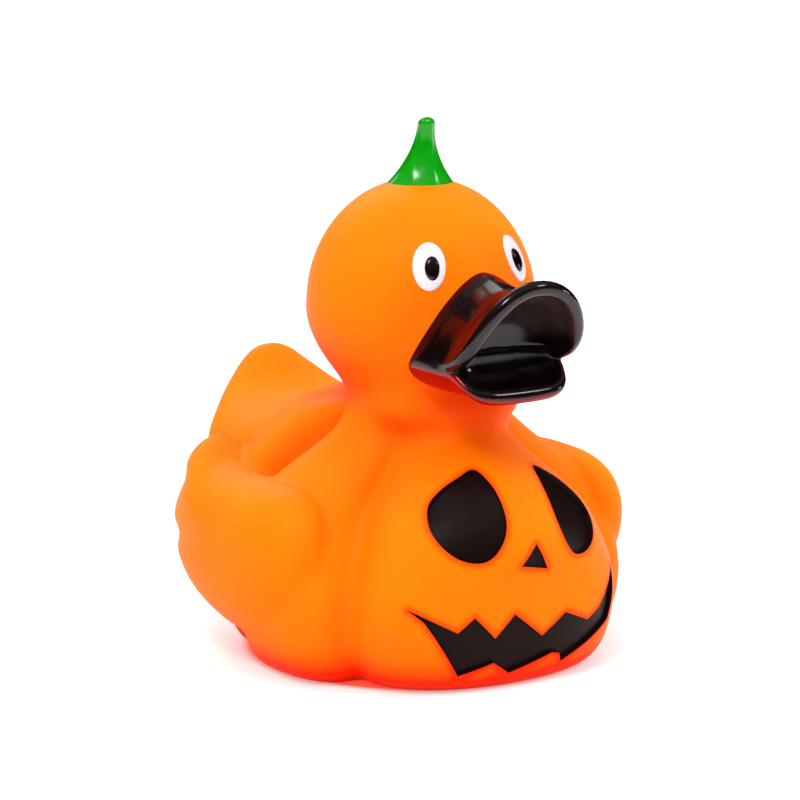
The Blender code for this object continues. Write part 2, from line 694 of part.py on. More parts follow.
# Openings, carving and eyes
ground = upright_drum("ground", 2.0 * TAIL_TIP_BACK, -10.0 * MM, 0.0)
vent = upright_drum("vent", VENT_RADIUS, -5.0 * MM, 2.5 * WALL)
carvings = []
for side in (-1, 1):
    outline = catmull(tilted([(side * a, h) for a, h in CARVED_EYE]), 2, closed=True)
    carvings.append(carve_shape("carved_eye", chest, outline, CARVED_EYE_DEPTH))
nose = [(a * MM, h * MM) for a, h in CARVED_NOSE]
carvings.append(carve_shape("carved_nose", chest, nose, CARVED_NOSE_DEPTH, rings=2))
carvings.append(carve_grin("carved_grin", chest, CARVED_MOUTH_DEPTH))
for cutter in (ground, hollow, vent):
    cut(duck, cutter)
for cutter in carvings:
    cutter.data.materials.append(carving_paint)
    cut(duck, cutter)
for side in (-1, 1):
    white = oval_dome("eye_white", chest, side * DUCK_EYE_ACROSS, DUCK_EYE_HALF_WIDTH,
                      DUCK_EYE_HALF_HEIGHT, DUCK_EYE_RELIEF)
    white.data.materials.append(eye_paint)
    pupil = oval_dome("pupil", chest, side * DUCK_EYE_ACROSS, PUPIL_HALF_WIDTH,
                      PUPIL_HALF_HEIGHT, PUPIL_RELIEF)
    pupil.data.materials.append(bill_paint)
    cut(duck, white, "UNION")
    cut(duck, pupil, "UNION")
for form in [trunk, *wings, tail, upper_bill, jaw, *hollow_forms]:
    bpy.data.objects.remove(form, do_unlink=True)

# Stand the toy over the middle of its own outline
duck = keep_as_mesh(duck, "duck_body")
drop_specks(duck)
spans = [[vertex.co[k] for vertex in duck.data.vertices] for k in (0, 1)]
offset = Vector([0.5 * (min(span) + max(span)) for span in spans] + [0.0])
for vertex in duck.data.vertices:
    vertex.co -= offset
duck.data.shade_smooth()
duck.data.set_sharp_from_angle(angle=math.radians(40.0))
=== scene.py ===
import math
from functools import partial, reduce

import bmesh
import bpy
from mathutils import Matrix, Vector
from mathutils.bvhtree import BVHTree
from mathutils.kdtree import KDTree


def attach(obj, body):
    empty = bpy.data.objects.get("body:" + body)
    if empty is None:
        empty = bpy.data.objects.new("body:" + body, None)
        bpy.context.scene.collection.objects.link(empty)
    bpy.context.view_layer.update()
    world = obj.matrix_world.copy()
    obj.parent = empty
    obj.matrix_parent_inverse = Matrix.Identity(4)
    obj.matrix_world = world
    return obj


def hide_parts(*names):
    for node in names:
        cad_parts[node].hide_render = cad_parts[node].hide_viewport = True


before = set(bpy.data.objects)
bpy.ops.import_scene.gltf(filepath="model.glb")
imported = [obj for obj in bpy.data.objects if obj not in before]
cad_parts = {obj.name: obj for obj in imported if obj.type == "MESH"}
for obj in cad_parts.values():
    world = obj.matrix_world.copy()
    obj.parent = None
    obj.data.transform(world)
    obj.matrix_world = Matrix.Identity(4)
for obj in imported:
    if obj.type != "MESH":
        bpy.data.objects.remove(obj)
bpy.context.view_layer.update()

mm = 0.001

# The forms are drawn with the neck's axis near the middle, then moved by this much so that
# they stand where the CAD body stands.
standBack = Vector((0.0, -6.408 * mm, 0.0))


def newItem(name, data):
    item = bpy.data.objects.new(name, data)
    bpy.context.scene.collection.objects.link(item)
    return item


def aimedItem(name, data, place, aim):
    item = newItem(name, data)
    item.location = place
    away = (Vector(aim) - Vector(place)).normalized()
    item.rotation_euler = away.to_track_quat("-Z", "Y").to_euler()
    return item


# Camera, first of all

cameraView = {
    "place": (-331.2, -509.7, 165.75),   # millimetres
    "looksAt": (1.2, -0.5, 45.2),
    "lens": 148.56, "sensor": 36.0, "clipEnd": 20.0,
}


def placeCamera(look):
    data = bpy.data.cameras.new("photoCamera")
    data.lens = look["lens"]
    data.sensor_width = look["sensor"]
    data.clip_end = look["clipEnd"]
    place, aim = Vector(look["place"]) * mm, Vector(look["looksAt"]) * mm
    bpy.context.scene.camera = aimedItem("photoCamera", data, place, aim)


placeCamera(cameraView)
print("camera placed")


# Helpers for curves, skins and Booleans

def levelSpline(keys, values, x):
    if x <= keys[0]:
        return values[0]
    if x >= keys[-1]:
        return values[-1]
    i = next(k for k in range(len(keys) - 1) if x <= keys[k + 1])
    span = keys[i + 1] - keys[i]

    def slope(k):
        if k == 0 or k == len(keys) - 1:
            return 0.0
        return (values[k + 1] - values[k - 1]) / (keys[k + 1] - keys[k - 1])

    t = (x - keys[i]) / span
    return ((2 * t**3 - 3 * t**2 + 1) * values[i] + (t**3 - 2 * t**2 + t) * span * slope(i)
            + (3 * t**2 - 2 * t**3) * values[i + 1] + (t**3 - t**2) * span * slope(i + 1))


def curveThrough(points, steps, closed=False):
    count = len(points)
    result = []
    for i in range(count if closed else count - 1):
        if closed:
            a, b, c, d = (points[(i + k) % count] for k in (-1, 0, 1, 2))
        else:
            a, b, c, d = (points[min(max(i + k, 0), count - 1)] for k in (-1, 0, 1, 2))
        for s in range(steps):
            t = s / steps
            result.append(tuple(
                0.5 * (2 * q + (r - p) * t + (2 * p - 5 * q + 4 * r - u) * t * t
                       + (3 * q - p - 3 * r + u) * t**3)
                for p, q, r, u in zip(a, b, c, d)))
    if not closed:
        result.append(tuple(points[-1]))
    return result


def turnsRound(count):
    return [2.0 * math.pi * k / count for k in range(count)]


def meshObject(name, bm):
    bmesh.ops.recalc_face_normals(bm, faces=bm.faces)
    mesh = bpy.data.meshes.new(name)
    bm.to_mesh(mesh)
    bm.free()
    return newItem(name, mesh)


def skinOver(name, rings, startPoint=None, endPoint=None):
    bm = bmesh.new()
    rows = [[bm.verts.new(p) for p in ring] for ring in rings]
    count = len(rows[0])
    for lower, upper in zip(rows, rows[1:]):
        for i in range(count):
            j = (i + 1) % count
            bm.faces.new((lower[i], lower[j], upper[j], upper[i]))
    for row, tip in ((rows[0], startPoint), (rows[-1], endPoint)):
        if tip is None:
            bm.faces.new(row)
        else:
            top = bm.verts.new(tip)
            for i in range(count):
                bm.faces.new((row[i], row[(i + 1) % count], top))
    return meshObject(name, bm)


def settled(item, name):
    # The object as its modifiers leave it, as a plain mesh of its own.
    seen = item.evaluated_get(bpy.context.evaluated_depsgraph_get())
    mesh = bpy.data.meshes.new_from_object(seen)
    bpy.data.objects.remove(item, do_unlink=True)
    mesh.name = name
    return newItem(name, mesh)


def fuseForms(name, forms, grain, passes):
    bm = bmesh.new()
    for form in forms:
        bm.from_mesh(form.data)
    rough = meshObject(name + "Forms", bm)
    fuse = rough.modifiers.new("fuse", "REMESH")
    fuse.mode = "VOXEL"
    fuse.voxel_size = grain
    soften = rough.modifiers.new("soften", "SMOOTH")
    soften.factor = 0.5
    soften.iterations = passes
    return settled(rough, name)


def cutAway(item, cutter):
    step = item.modifiers.new(cutter.name, "BOOLEAN")
    step.operation = "DIFFERENCE"
    step.object = cutter
    step.solver = "EXACT"
    step.material_mode = "TRANSFER"


def pointTree(places):
    tree = KDTree(len(places))
    for i, place in enumerate(places):
        tree.insert(place, i)
    tree.balance()
    return tree


def surfaceOf(item):
    return BVHTree.FromObject(item, bpy.context.evaluated_depsgraph_get())


def metFromFront(tree, across, height):
    start = Vector((across, -0.12, height))
    point, normal, _, _ = tree.ray_cast(start, Vector((0.0, 1.0, 0.0)))
    return point, normal


def standPiece(item, paint, sharpAngle=60.0):
    # Moves the mesh to its place, gives it its coat and fastens it to the CAD body.
    for vertex in item.data.vertices:
        vertex.co += standBack
    item.data.shade_smooth()
    item.data.set_sharp_from_angle(angle=math.radians(sharpAngle))
    if paint is not None:
        item.data.materials.clear()
        item.data.materials.append(paint)
    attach(item, "root")
    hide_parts("duck_body")
    print("piece", item.name, len(item.data.polygons), "faces")


# Shader groups shared by the materials

def shaderGroup(name, inputs, outputs):
    group = bpy.data.node_groups.new(name, "ShaderNodeTree")
    for label, value in inputs:
        socket = group.interface.new_socket(label, in_out="INPUT",
                                            socket_type="NodeSocketFloat")
        socket.default_value = value
    for label in outputs:
        group.interface.new_socket(label, in_out="OUTPUT", socket_type="NodeSocketFloat")
    return group, group.nodes.new("NodeGroupInput"), group.nodes.new("NodeGroupOutput")


def noiseNode(group, source, size, detail, vector):
    node = group.nodes.new("ShaderNodeTexNoise")
    node.inputs["Detail"].default_value = detail
    group.links.new(vector, node.inputs["Vector"])
    group.links.new(source.outputs[size], node.inputs["Scale"])
    return node.outputs["Fac"]


def feed(tree, socket, value):
    # A colour or a number sets the socket, and another node's output is linked to it.
    if isinstance(value, tuple):
        socket.default_value = (*value, 1.0)
    elif isinstance(value, (int, float)):
        socket.default_value = float(value)
    elif value is not None:
        tree.links.new(value, socket)


def mathNode(tree, kind, one, two=None):
    node = tree.nodes.new("ShaderNodeMath")
    node.operation = kind
    feed(tree, node.inputs[0], one)
    feed(tree, node.inputs[1], two)
    return node.outputs[0]


def rangeNode(tree, value, low, high, outLow=0.0, outHigh=1.0, kind="LINEAR"):
    node = tree.nodes.new("ShaderNodeMapRange")
    node.interpolation_type = kind
    for label, thing in (("Value", value), ("From Min", low), ("From Max", high),
                         ("To Min", outLow), ("To Max", outHigh)):
        feed(tree, node.inputs[label], thing)
    return node.outputs["Result"]


def mixColours(tree, factor, one, two):
    mix = tree.nodes.new("ShaderNodeMix")
    mix.data_type = "RGBA"
    for place, value in ((0, factor), (6, one), (7, two)):
        feed(tree, mix.inputs[place], value)
    return mix.outputs[2]


def lengthNode(tree, vector):
    node = tree.nodes.new("ShaderNodeVectorMath")
    node.operation = "LENGTH"
    tree.links.new(vector, node.inputs[0])
    return node.outputs["Value"]


def attributeNode(tree, name):
    node = tree.nodes.new("ShaderNodeAttribute")
    node.attribute_name = name
    return node.outputs["Fac"]


def softGrainGroup():
    # Broad waviness of a rotated casting with a fine, barely visible skin.
    group, source, sink = shaderGroup(
        "softGrain", [("Wave Scale", 60.0), ("Grain Scale", 2200.0), ("Wave", 1.0),
                      ("Grain", 0.25)], ["Height", "Tone"])
    place = group.nodes.new("ShaderNodeTexCoord").outputs["Object"]
    wave = noiseNode(group, source, "Wave Scale", 2.0, place)
    grain = noiseNode(group, source, "Grain Scale", 3.0, place)
    waveHeight = mathNode(group, "MULTIPLY", wave, source.outputs["Wave"])
    grainHeight = mathNode(group, "MULTIPLY", grain, source.outputs["Grain"])
    height = mathNode(group, "ADD", waveHeight, grainHeight)
    group.links.new(height, sink.inputs["Height"])
    group.links.new(wave, sink.inputs["Tone"])
    return group


def brushedCoatGroup():
    # Hand-laid paint: faint streaks, pinholes and specks of dust under the gloss.
    group, source, sink = shaderGroup(
        "brushedCoat", [("Blotch Scale", 260.0), ("Speck Scale", 900.0), ("Speck Size", 0.09)],
        ["Height", "Speck", "Blotch"])
    place = group.nodes.new("ShaderNodeTexCoord").outputs["Object"]
    blotch = noiseNode(group, source, "Blotch Scale", 4.0, place)
    cells = group.nodes.new("ShaderNodeTexVoronoi")
    cells.feature = "F1"
    group.links.new(place, cells.inputs["Vector"])
    group.links.new(source.outputs["Speck Scale"], cells.inputs["Scale"])
    near = mathNode(group, "LESS_THAN", cells.outputs["Distance"], source.outputs["Speck Size"])
    rare = mathNode(group, "GREATER_THAN", cells.outputs["Color"], 0.72)
    speck = mathNode(group, "MULTIPLY", near, rare)
    height = mathNode(group, "ADD", blotch, speck)
    group.links.new(height, sink.inputs["Height"])
    group.links.new(speck, sink.inputs["Speck"])
    group.links.new(blotch, sink.inputs["Blotch"])
    return group


softGrain = softGrainGroup()
brushedCoat = brushedCoatGroup()


def newMaterial(name, look):
    material = bpy.data.materials.new(name)
    material.use_nodes = True
    shader = material.node_tree.nodes["Principled BSDF"]
    for label, value in look.items():
        shader.inputs[label].default_value = value
    return material, material.node_tree, shader


def groupNode(tree, group, **values):
    node = tree.nodes.new("ShaderNodeGroup")
    node.node_tree = group
    for label, value in values.items():
        node.inputs[label.replace("_", " ")].default_value = value
    return node


def bumpFrom(tree, shader, height, distance, strength=1.0):
    bump = tree.nodes.new("ShaderNodeBump")
    bump.inputs["Distance"].default_value = distance
    bump.inputs["Strength"].default_value = strength
    tree.links.new(height, bump.inputs["Height"])
    tree.links.new(bump.outputs["Normal"], shader.inputs["Normal"])


vinylLook = {
    "surface": {
        "Roughness": 0.46, "Subsurface Weight": 0.10, "Subsurface Radius": (1.0, 0.20, 0.03),
        "Subsurface Scale": 2.0 * mm, "IOR": 1.3, "Specular IOR Level": 0.12,
        "Sheen Weight": 0.14, "Sheen Roughness": 0.30, "Sheen Tint": (1.0, 0.75, 0.55, 1.0)},
    "lit": ((1.0, 0.225, 0.0), (1.0, 0.255, 0.0)),
    "hollows": (   # painted shade: from and to what hollowness, and the redder tint painted there
        (0.03, 0.27, (1.0, 0.125, 0.0)), (0.25, 0.55, (1.0, 0.025, 0.0))),
    "mirrored": (1.0, 0.02, 0.0), "mirrorShare": 0.85,
    "roughness": (0.42, 0.50), "bump": (0.12 * mm, 0.6),
}


def orangeVinyl(look):
    # Painted shade: the base colour turns redder where the vertex attribute of painted shade is
    # high, in hollows, on upright faces and round the carved face. Painted reflection: as
    # mirrored in the gloss paint, the vinyl shows a deeper red.
    material, tree, shader = newMaterial("orangeVinyl", look["surface"])
    grain = groupNode(tree, softGrain, Wave_Scale=55.0, Grain_Scale=2400.0, Wave=1.0, Grain=0.12)
    colour = mixColours(tree, rangeNode(tree, grain.outputs["Tone"], 0.35, 0.65), *look["lit"])
    hollow = attributeNode(tree, "hollow")
    for low, high, tint in look["hollows"]:
        colour = mixColours(tree, rangeNode(tree, hollow, low, high), colour, tint)
    # Painted reflection: seen in the gloss paint, the vinyl's colour is a deeper red.
    path = tree.nodes.new("ShaderNodeLightPath")
    mirrored = mathNode(tree, "MULTIPLY", path.outputs["Is Glossy Ray"], look["mirrorShare"])
    colour = mixColours(tree, mirrored, colour, look["mirrored"])
    tree.links.new(colour, shader.inputs["Base Color"])
    rough = rangeNode(tree, grain.outputs["Tone"], 0.3, 0.7, *look["roughness"])
    tree.links.new(rough, shader.inputs["Roughness"])
    bumpFrom(tree, shader, grain.outputs["Height"], *look["bump"])
    return material


def glossPaint(name, one, two, roughness, tints=None):
    material, tree, shader = newMaterial(name, {"Roughness": roughness, "IOR": 1.5})
    coat = groupNode(tree, brushedCoat, Blotch_Scale=240.0, Speck_Scale=420.0, Speck_Size=0.06)
    colour = mixColours(tree, rangeNode(tree, coat.outputs["Blotch"], 0.35, 0.65), one, two)
    # Tints kept on the vertices are mixed in here: for the bill, painted shade and a painted
    # reflection.
    for place, tint in (tints or {}).items():
        colour = mixColours(tree, attributeNode(tree, place), colour, tint)
    tree.links.new(colour, shader.inputs["Base Color"])
    rough = rangeNode(tree, coat.outputs["Blotch"], 0.3, 0.7, roughness * 0.8, roughness * 1.25)
    tree.links.new(rough, shader.inputs["Roughness"])
    bumpFrom(tree, shader, coat.outputs["Height"], 0.02 * mm, 0.5)
    return material


satinLook = {"ground": (0.009, 0.002, 0.0015), "speck": (0.022, 0.010, 0.009),
             "roughness": (0.32, 0.50)}


def carvedSatin(look):
    material, tree, shader = newMaterial("carvedSatin", {
        "Roughness": 0.45, "IOR": 1.5, "Specular IOR Level": 0.12})
    coat = groupNode(tree, brushedCoat, Blotch_Scale=3400.0, Speck_Scale=2600.0,
                     Speck_Size=0.20)
    tree.links.new(mixColours(tree, coat.outputs["Speck"], look["ground"], look["speck"]),
                   shader.inputs["Base Color"])
    rough = rangeNode(tree, coat.outputs["Blotch"], 0.3, 0.7, *look["roughness"])
    tree.links.new(rough, shader.inputs["Roughness"])
    bumpFrom(tree, shader, coat.outputs["Height"], 0.035 * mm, 0.7)
    return material


eyeLook = {"white": ((0.88, 0.79, 0.86), (0.91, 0.83, 0.89)), "mirrored": (0.16, 0.02, 0.02)}


def eyeWhitePaint(look):
    material, tree, shader = newMaterial("eyeWhitePaint", {
        "Roughness": 0.30, "Coat Weight": 0.2, "Coat Roughness": 0.1})
    grain = groupNode(tree, softGrain, Wave_Scale=300.0, Grain_Scale=2400.0, Wave=1.0,
                      Grain=0.1)
    seen = mixColours(tree, rangeNode(tree, grain.outputs["Tone"], 0.35, 0.65), *look["white"])
    # Painted reflection: as mirrored in the gloss paint, the eye whites show as a dark red
    # instead of white.
    path = tree.nodes.new("ShaderNodeLightPath")
    tree.links.new(mixColours(tree, path.outputs["Is Glossy Ray"], seen, look["mirrored"]),
                   shader.inputs["Base Color"])
    bumpFrom(tree, shader, grain.outputs["Height"], 0.03 * mm, 0.5)
    return material


vinylCoat = orangeVinyl(vinylLook)
# The bill's tints are painted light: the bare vinyl under the jaw as in deep shade, and a
# brownish reflection on the mouth's roof.
billCoat = glossPaint("billGloss", (0.003, 0.001, 0.001), (0.007, 0.002, 0.002), 0.14,
                      {"bareInShade": (0.36, 0.002, 0.0), "roofReflection": (0.040, 0.022, 0.022)})
pupilCoat = glossPaint("pupilGloss", (0.004, 0.001, 0.001), (0.006, 0.002, 0.002), 0.08)
stemCoat = glossPaint("stemGloss", (0.0, 0.30, 0.0), (0.0, 0.36, 0.002), 0.17)
carvedCoat = carvedSatin(satinLook)
eyeCoat = eyeWhitePaint(eyeLook)
print("materials made")


# Geometry Nodes helpers

def nodeTree(name, sizes):
    tree = bpy.data.node_groups.new(name, "GeometryNodeTree")
    tree.interface.new_socket("Geometry", in_out="INPUT", socket_type="NodeSocketGeometry")
    for label, value in sizes.items():
        kind = "NodeSocketInt" if isinstance(value, int) else "NodeSocketFloat"
        tree.interface.new_socket(label, in_out="INPUT", socket_type=kind).default_value = value
    tree.interface.new_socket("Coat", in_out="INPUT", socket_type="NodeSocketMaterial")
    tree.interface.new_socket("Geometry", in_out="OUTPUT", socket_type="NodeSocketGeometry")
    return tree, tree.nodes.new("NodeGroupInput"), tree.nodes.new("NodeGroupOutput")


def mathKit(tree, *kinds):
    return [partial(mathNode, tree, kind) for kind in kinds]


def smoothRange(*values):
    return rangeNode(*values, "SMOOTHSTEP")


def chooseValue(tree, value, limit, below, above):
    pick = tree.nodes.new("GeometryNodeSwitch")
    pick.input_type = "FLOAT"
    tree.links.new(mathNode(tree, "LESS_THAN", value, limit), pick.inputs["Switch"])
    tree.links.new(above, pick.inputs["False"])
    tree.links.new(below, pick.inputs["True"])
    return pick.outputs["Output"]


def joinXyz(tree, x, y, z):
    node = tree.nodes.new("ShaderNodeCombineXYZ")
    for socket, value in zip(node.inputs, (x, y, z)):
        feed(tree, socket, value)
    return node.outputs[0]


def positionParts(tree):
    place = tree.nodes.new("GeometryNodeInputPosition")
    parts = tree.nodes.new("ShaderNodeSeparateXYZ")
    tree.links.new(place.outputs[0], parts.inputs[0])
    return parts.outputs


def endTree(tree, geometry, source, sink):
    whole = tree.nodes.new("GeometryNodeRealizeInstances")
    paint = tree.nodes.new("GeometryNodeSetMaterial")
    tree.links.new(geometry, whole.inputs[0])
    tree.links.new(whole.outputs[0], paint.inputs["Geometry"])
    tree.links.new(source.outputs["Coat"], paint.inputs["Material"])
    tree.links.new(paint.outputs[0], sink.inputs[0])


def applyTree(item, tree, sizes, coat):
    values = {**sizes, "Coat": coat}
    step = item.modifiers.new(tree.name, "NODES")
    step.node_group = tree
    for thing in tree.interface.items_tree:
        if thing.item_type == "SOCKET" and thing.in_out == "INPUT" and thing.name in values:
            step[thing.identifier] = values[thing.name]
    return settled(item, item.name)


# Pumpkin body, neck and head

bodyForm = {
    "frontReach": 39.5, "cornerReach": 41.4, "sideReach": 36.6, "backReach": 38.6,
    "shoulderHeight": 46.3,
    "neckRadius": 15.4, "neckForward": 5.4, "throatFullness": 1.6, "throatSpan": (0.1, 0.4),
    "leanFrom": 0.6, "leanMost": 0.9, "cornerLean": 0.6, "crownGap": 0.05,
    "headRadius": 21.2, "headForward": 3.0, "headHeight": 65.2, "headCrown": 23.3,
    "rings": (   # share of shoulder height, then shares of the four reaches
        (-0.010, 0.815, 0.780, 0.800, 0.740),
        (0.020, 0.905, 0.880, 0.900, 0.815),
        (0.080, 0.945, 0.945, 0.950, 0.880),
        (0.175, 0.970, 0.985, 0.990, 0.945),
        (0.300, 0.993, 1.000, 1.010, 0.980),
        (0.430, 1.000, 0.968, 1.010, 1.000),
        (0.560, 1.025, 0.885, 0.980, 0.998),
        (0.670, 0.985, 0.790, 0.905, 0.975),
        (0.775, 0.885, 0.640, 0.775, 0.915),
        (0.860, 0.740, 0.505, 0.635, 0.835),
        (0.935, 0.610, 0.430, 0.520, 0.740),
        (1.000, 0.575, 0.472, 0.450, 0.590)),
    "ringAngles": (0.0, 50.0, 92.0, 180.0),
    "neckRings": ((0.10, 0.0), (0.20, 0.02), (0.32, 0.19), (0.48, 0.50), (0.64, 0.76),
                  (0.82, 0.95)),
    "crests": ((0.0, 52.0), (80.0, 28.0), (134.0, 26.0), (180.0, 20.0)),   # turn, half width
    "around": 240, "steps": 9, "grain": 0.62, "passes": 7,
}
creases = {
    "Front Crease": 7.2 * mm, "Side Crease": 9.2 * mm, "Back Crease": 6.8 * mm,
    "Squareness": 4.2, "Valley Floor": 0.965,
    "Fade Start": 0.90 * bodyForm["shoulderHeight"] * mm,
    "Fade End": 1.07 * bodyForm["shoulderHeight"] * mm,
    "Front Fade Start": 0.74 * bodyForm["shoulderHeight"] * mm,
    "Front Fade End": 0.97 * bodyForm["shoulderHeight"] * mm,
    "Lean Start": bodyForm["leanFrom"] * bodyForm["shoulderHeight"] * mm,
    "Lean End": bodyForm["shoulderHeight"] * mm,
    "Lean": bodyForm["leanMost"] * bodyForm["neckForward"] * mm,
}


def trunkRows(form):
    rows = []
    reaches = [form[k] for k in ("frontReach", "cornerReach", "sideReach", "backReach")]
    for share, *spread in form["rings"]:
        shift = form["neckForward"] * levelSpline((form["leanFrom"], 1.0),
                                                  (0.0, form["leanMost"]), share)
        lean = (-shift, -form["cornerLean"] * shift, 0.0, shift)
        rows.append((share * form["shoulderHeight"], shift,
                     *(s * r + k for s, r, k in zip(spread, reaches, lean))))
    rise = form["headHeight"] - form["shoulderHeight"]
    for up, out in form["neckRings"]:
        radius = form["neckRadius"] + out * (form["headRadius"] - form["neckRadius"])
        shift = form["neckForward"] + out * (form["headForward"] - form["neckForward"])
        fuller = levelSpline(form["throatSpan"], (form["throatFullness"], 0.0), up)
        rows.append((form["shoulderHeight"] + up * rise, shift,
                     *([radius + fuller] * 2), *([radius] * 2)))
    for degrees in range(0, 90, 15):
        turn = math.radians(degrees)
        radius = form["headRadius"] * math.cos(turn)
        rows.append((form["headHeight"] + form["headCrown"] * math.sin(turn),
                     form["headForward"], *([radius] * 4)))
    return rows


def plainTrunk(name, form):
    rings = []
    for height, shift, *reaches in curveThrough(trunkRows(form), form["steps"]):
        ring = []
        for i in range(form["around"]):
            degrees = 360.0 * i / form["around"]
            fold = min(degrees, 360.0 - degrees)
            radius = levelSpline(form["ringAngles"], reaches, fold) * mm
            turn = math.radians(degrees)
            ring.append((radius * math.sin(turn), -shift * mm - radius * math.cos(turn),
                         height * mm))
        rings.append(ring)
    crown = (0.0, -form["headForward"] * mm, (form["headHeight"] + form["headCrown"]) * mm)
    rings = [ring for ring in rings if ring[0][2] < crown[2] - form["crownGap"] * mm]
    return skinOver(name, rings, endPoint=crown)


def lobeTree(crests):
    # Pulls the skin in towards the pumpkin's creases, by each point's turn round the neck.
    tree, source, sink = nodeTree("pumpkinLobes", creases)
    sizes = source.outputs
    x, y, z = positionParts(tree)
    shift = smoothRange(tree, z, sizes["Lean Start"], sizes["Lean End"], 0.0, sizes["Lean"])
    less, times, ratio, lowest, size, power = mathKit(
        tree, "SUBTRACT", "MULTIPLY", "DIVIDE", "MINIMUM", "ABSOLUTE", "POWER")
    outward = mathNode(tree, "ADD", y, shift)
    turn = mathNode(tree, "ARCTAN2", x, times(outward, -1.0))
    angle = size(mathNode(tree, "DEGREES", turn))
    across = reduce(lowest, [ratio(size(less(angle, crest)), half) for crest, half in crests])
    rear = chooseValue(tree, angle, crests[2][0], sizes["Side Crease"], sizes["Back Crease"])
    depth = chooseValue(tree, angle, crests[1][0], sizes["Front Crease"], rear)
    low = smoothRange(tree, z, sizes["Front Fade Start"], sizes["Front Fade End"], 1.0, 0.0)
    high = smoothRange(tree, z, sizes["Fade Start"], sizes["Fade End"], 1.0, 0.0)
    fade = chooseValue(tree, angle, crests[1][0], low, high)
    across = lowest(across, sizes["Valley Floor"])
    drop = times(power(across, sizes["Squareness"]), times(depth, fade))
    inward = tree.nodes.new("ShaderNodeVectorMath")
    inward.operation = "NORMALIZE"
    tree.links.new(joinXyz(tree, x, outward, 0.0), inward.inputs[0])
    offset = tree.nodes.new("ShaderNodeVectorMath")
    offset.operation = "SCALE"
    tree.links.new(inward.outputs[0], offset.inputs[0])
    tree.links.new(times(drop, -1.0), offset.inputs["Scale"])
    move = tree.nodes.new("GeometryNodeSetPosition")
    tree.links.new(source.outputs["Geometry"], move.inputs["Geometry"])
    tree.links.new(offset.outputs[0], move.inputs["Offset"])
    endTree(tree, move.outputs[0], source, sink)
    return tree


trunk = applyTree(plainTrunk("trunk", bodyForm), lobeTree(bodyForm["crests"]), creases,
                  vinylCoat)
print("pumpkin lobes made", len(trunk.data.polygons))


# Folded wings

wingForm = {
    "halfLength": 23.6, "halfHeight": 17.4, "back": 3.6, "height": 22.0, "spread": 33.55,
    "halfThickness": 8.0, "wrap": 4.5, "frontWrap": 0.20, "backWrap": 0.45, "doming": 3.2,
    "featherGroove": 1.1, "grooveWidth": 1.7, "grooveFade": 0.7, "steps": 10, "levels": 16,
    "outline": (   # shares of half length and half height, tip first
        (0.85, 0.98), (1.01, 0.82), (0.98, 0.55), (1.06, 0.22), (1.00, -0.10), (0.96, -0.36),
        (0.72, -0.72), (0.28, -0.97), (-0.22, -1.02), (-0.61, -0.82), (-0.84, -0.38),
        (-0.92, 0.15), (-0.82, 0.52), (-0.57, 0.71), (-0.18, 0.75), (0.20, 0.74),
        (0.48, 0.78), (0.67, 0.90)),
    "grooves": (((0.98, 0.56), (0.40, 0.62)), ((0.98, -0.05), (0.25, 0.10))),
}


def wingGroove(form, along, up):
    depth = 0.0
    for (x0, y0), (x1, y1) in form["grooves"]:
        dx, dy = x1 - x0, y1 - y0
        t = min(max(((along - x0) * dx + (up - y0) * dy) / (dx * dx + dy * dy), 0.0), 1.0)
        away = math.hypot((along - x0 - t * dx) * form["halfLength"],
                          (up - y0 - t * dy) * form["halfHeight"])
        depth += (form["featherGroove"] * (1.0 - t) ** form["grooveFade"]
                  * math.exp(-(away / form["grooveWidth"]) ** 2))
    return depth


def foldedWing(name, side, form):
    outline = curveThrough(form["outline"], form["steps"], closed=True)

    def place(share, along, up, outer):
        along, up = along * share, up * share
        dome = form["halfThickness"] * (1.0 - share**form["doming"]) ** 0.5
        if outer:
            dome -= min(wingGroove(form, along, up), dome)
        bend = form["frontWrap"] if along < 0.0 else form["backWrap"]
        mid = form["spread"] - form["wrap"] * bend * along * along
        mid -= form["wrap"] * up * up
        x = mid + (dome if outer else -dome)
        return Vector((side * x, form["back"] + along * form["halfLength"],
                       form["height"] + up * form["halfHeight"])) * mm

    count = form["levels"]
    levels = [math.sin(0.5 * math.pi * k / count) for k in range(1, count + 1)]
    rings = [[place(s, a, u, True) for a, u in outline] for s in levels]
    rings += [[place(s, a, u, False) for a, u in outline] for s in reversed(levels[:-1])]
    return skinOver(name, rings, place(0.0, 0.0, 0.0, True), place(0.0, 0.0, 0.0, False))


# Upturned tail

tailForm = {
    "halfWidth": 19.0, "tipBack": 52.0, "tipHeight": 49.4, "halfThickness": 7.0,
    "spine": (   # back and height shares of the tip's, then width and thickness shares
        (0.360, 0.500, 1.12, 3.00), (0.540, 0.512, 1.12, 2.70), (0.692, 0.593, 1.13, 2.17),
        (0.822, 0.692, 1.00, 1.50), (0.914, 0.800, 0.73, 0.99), (0.965, 0.893, 0.48, 0.66),
        (0.987, 0.955, 0.30, 0.44), (0.9955, 0.983, 0.19, 0.28), (0.999, 0.996, 0.095, 0.14)),
    "around": 96, "steps": 8,
}


def upturnedTail(name, form):
    spine = curveThrough(form["spine"], form["steps"])
    rings = []
    for i, (back, up, wide, thick) in enumerate(spine):
        after, before = spine[min(i + 1, len(spine) - 1)], spine[max(i - 1, 0)]
        run = Vector(((after[0] - before[0]) * form["tipBack"],
                      (after[1] - before[1]) * form["tipHeight"])).normalized()
        ring = []
        for turn in turnsRound(form["around"]):
            x = wide * form["halfWidth"] * math.cos(turn)
            out = thick * form["halfThickness"] * math.sin(turn)
            ring.append(Vector((x, back * form["tipBack"] + out * run.y,
                                up * form["tipHeight"] - out * run.x)) * mm)
        rings.append(ring)
    return skinOver(name, rings,
                    endPoint=Vector((0.0, form["tipBack"], form["tipHeight"])) * mm)


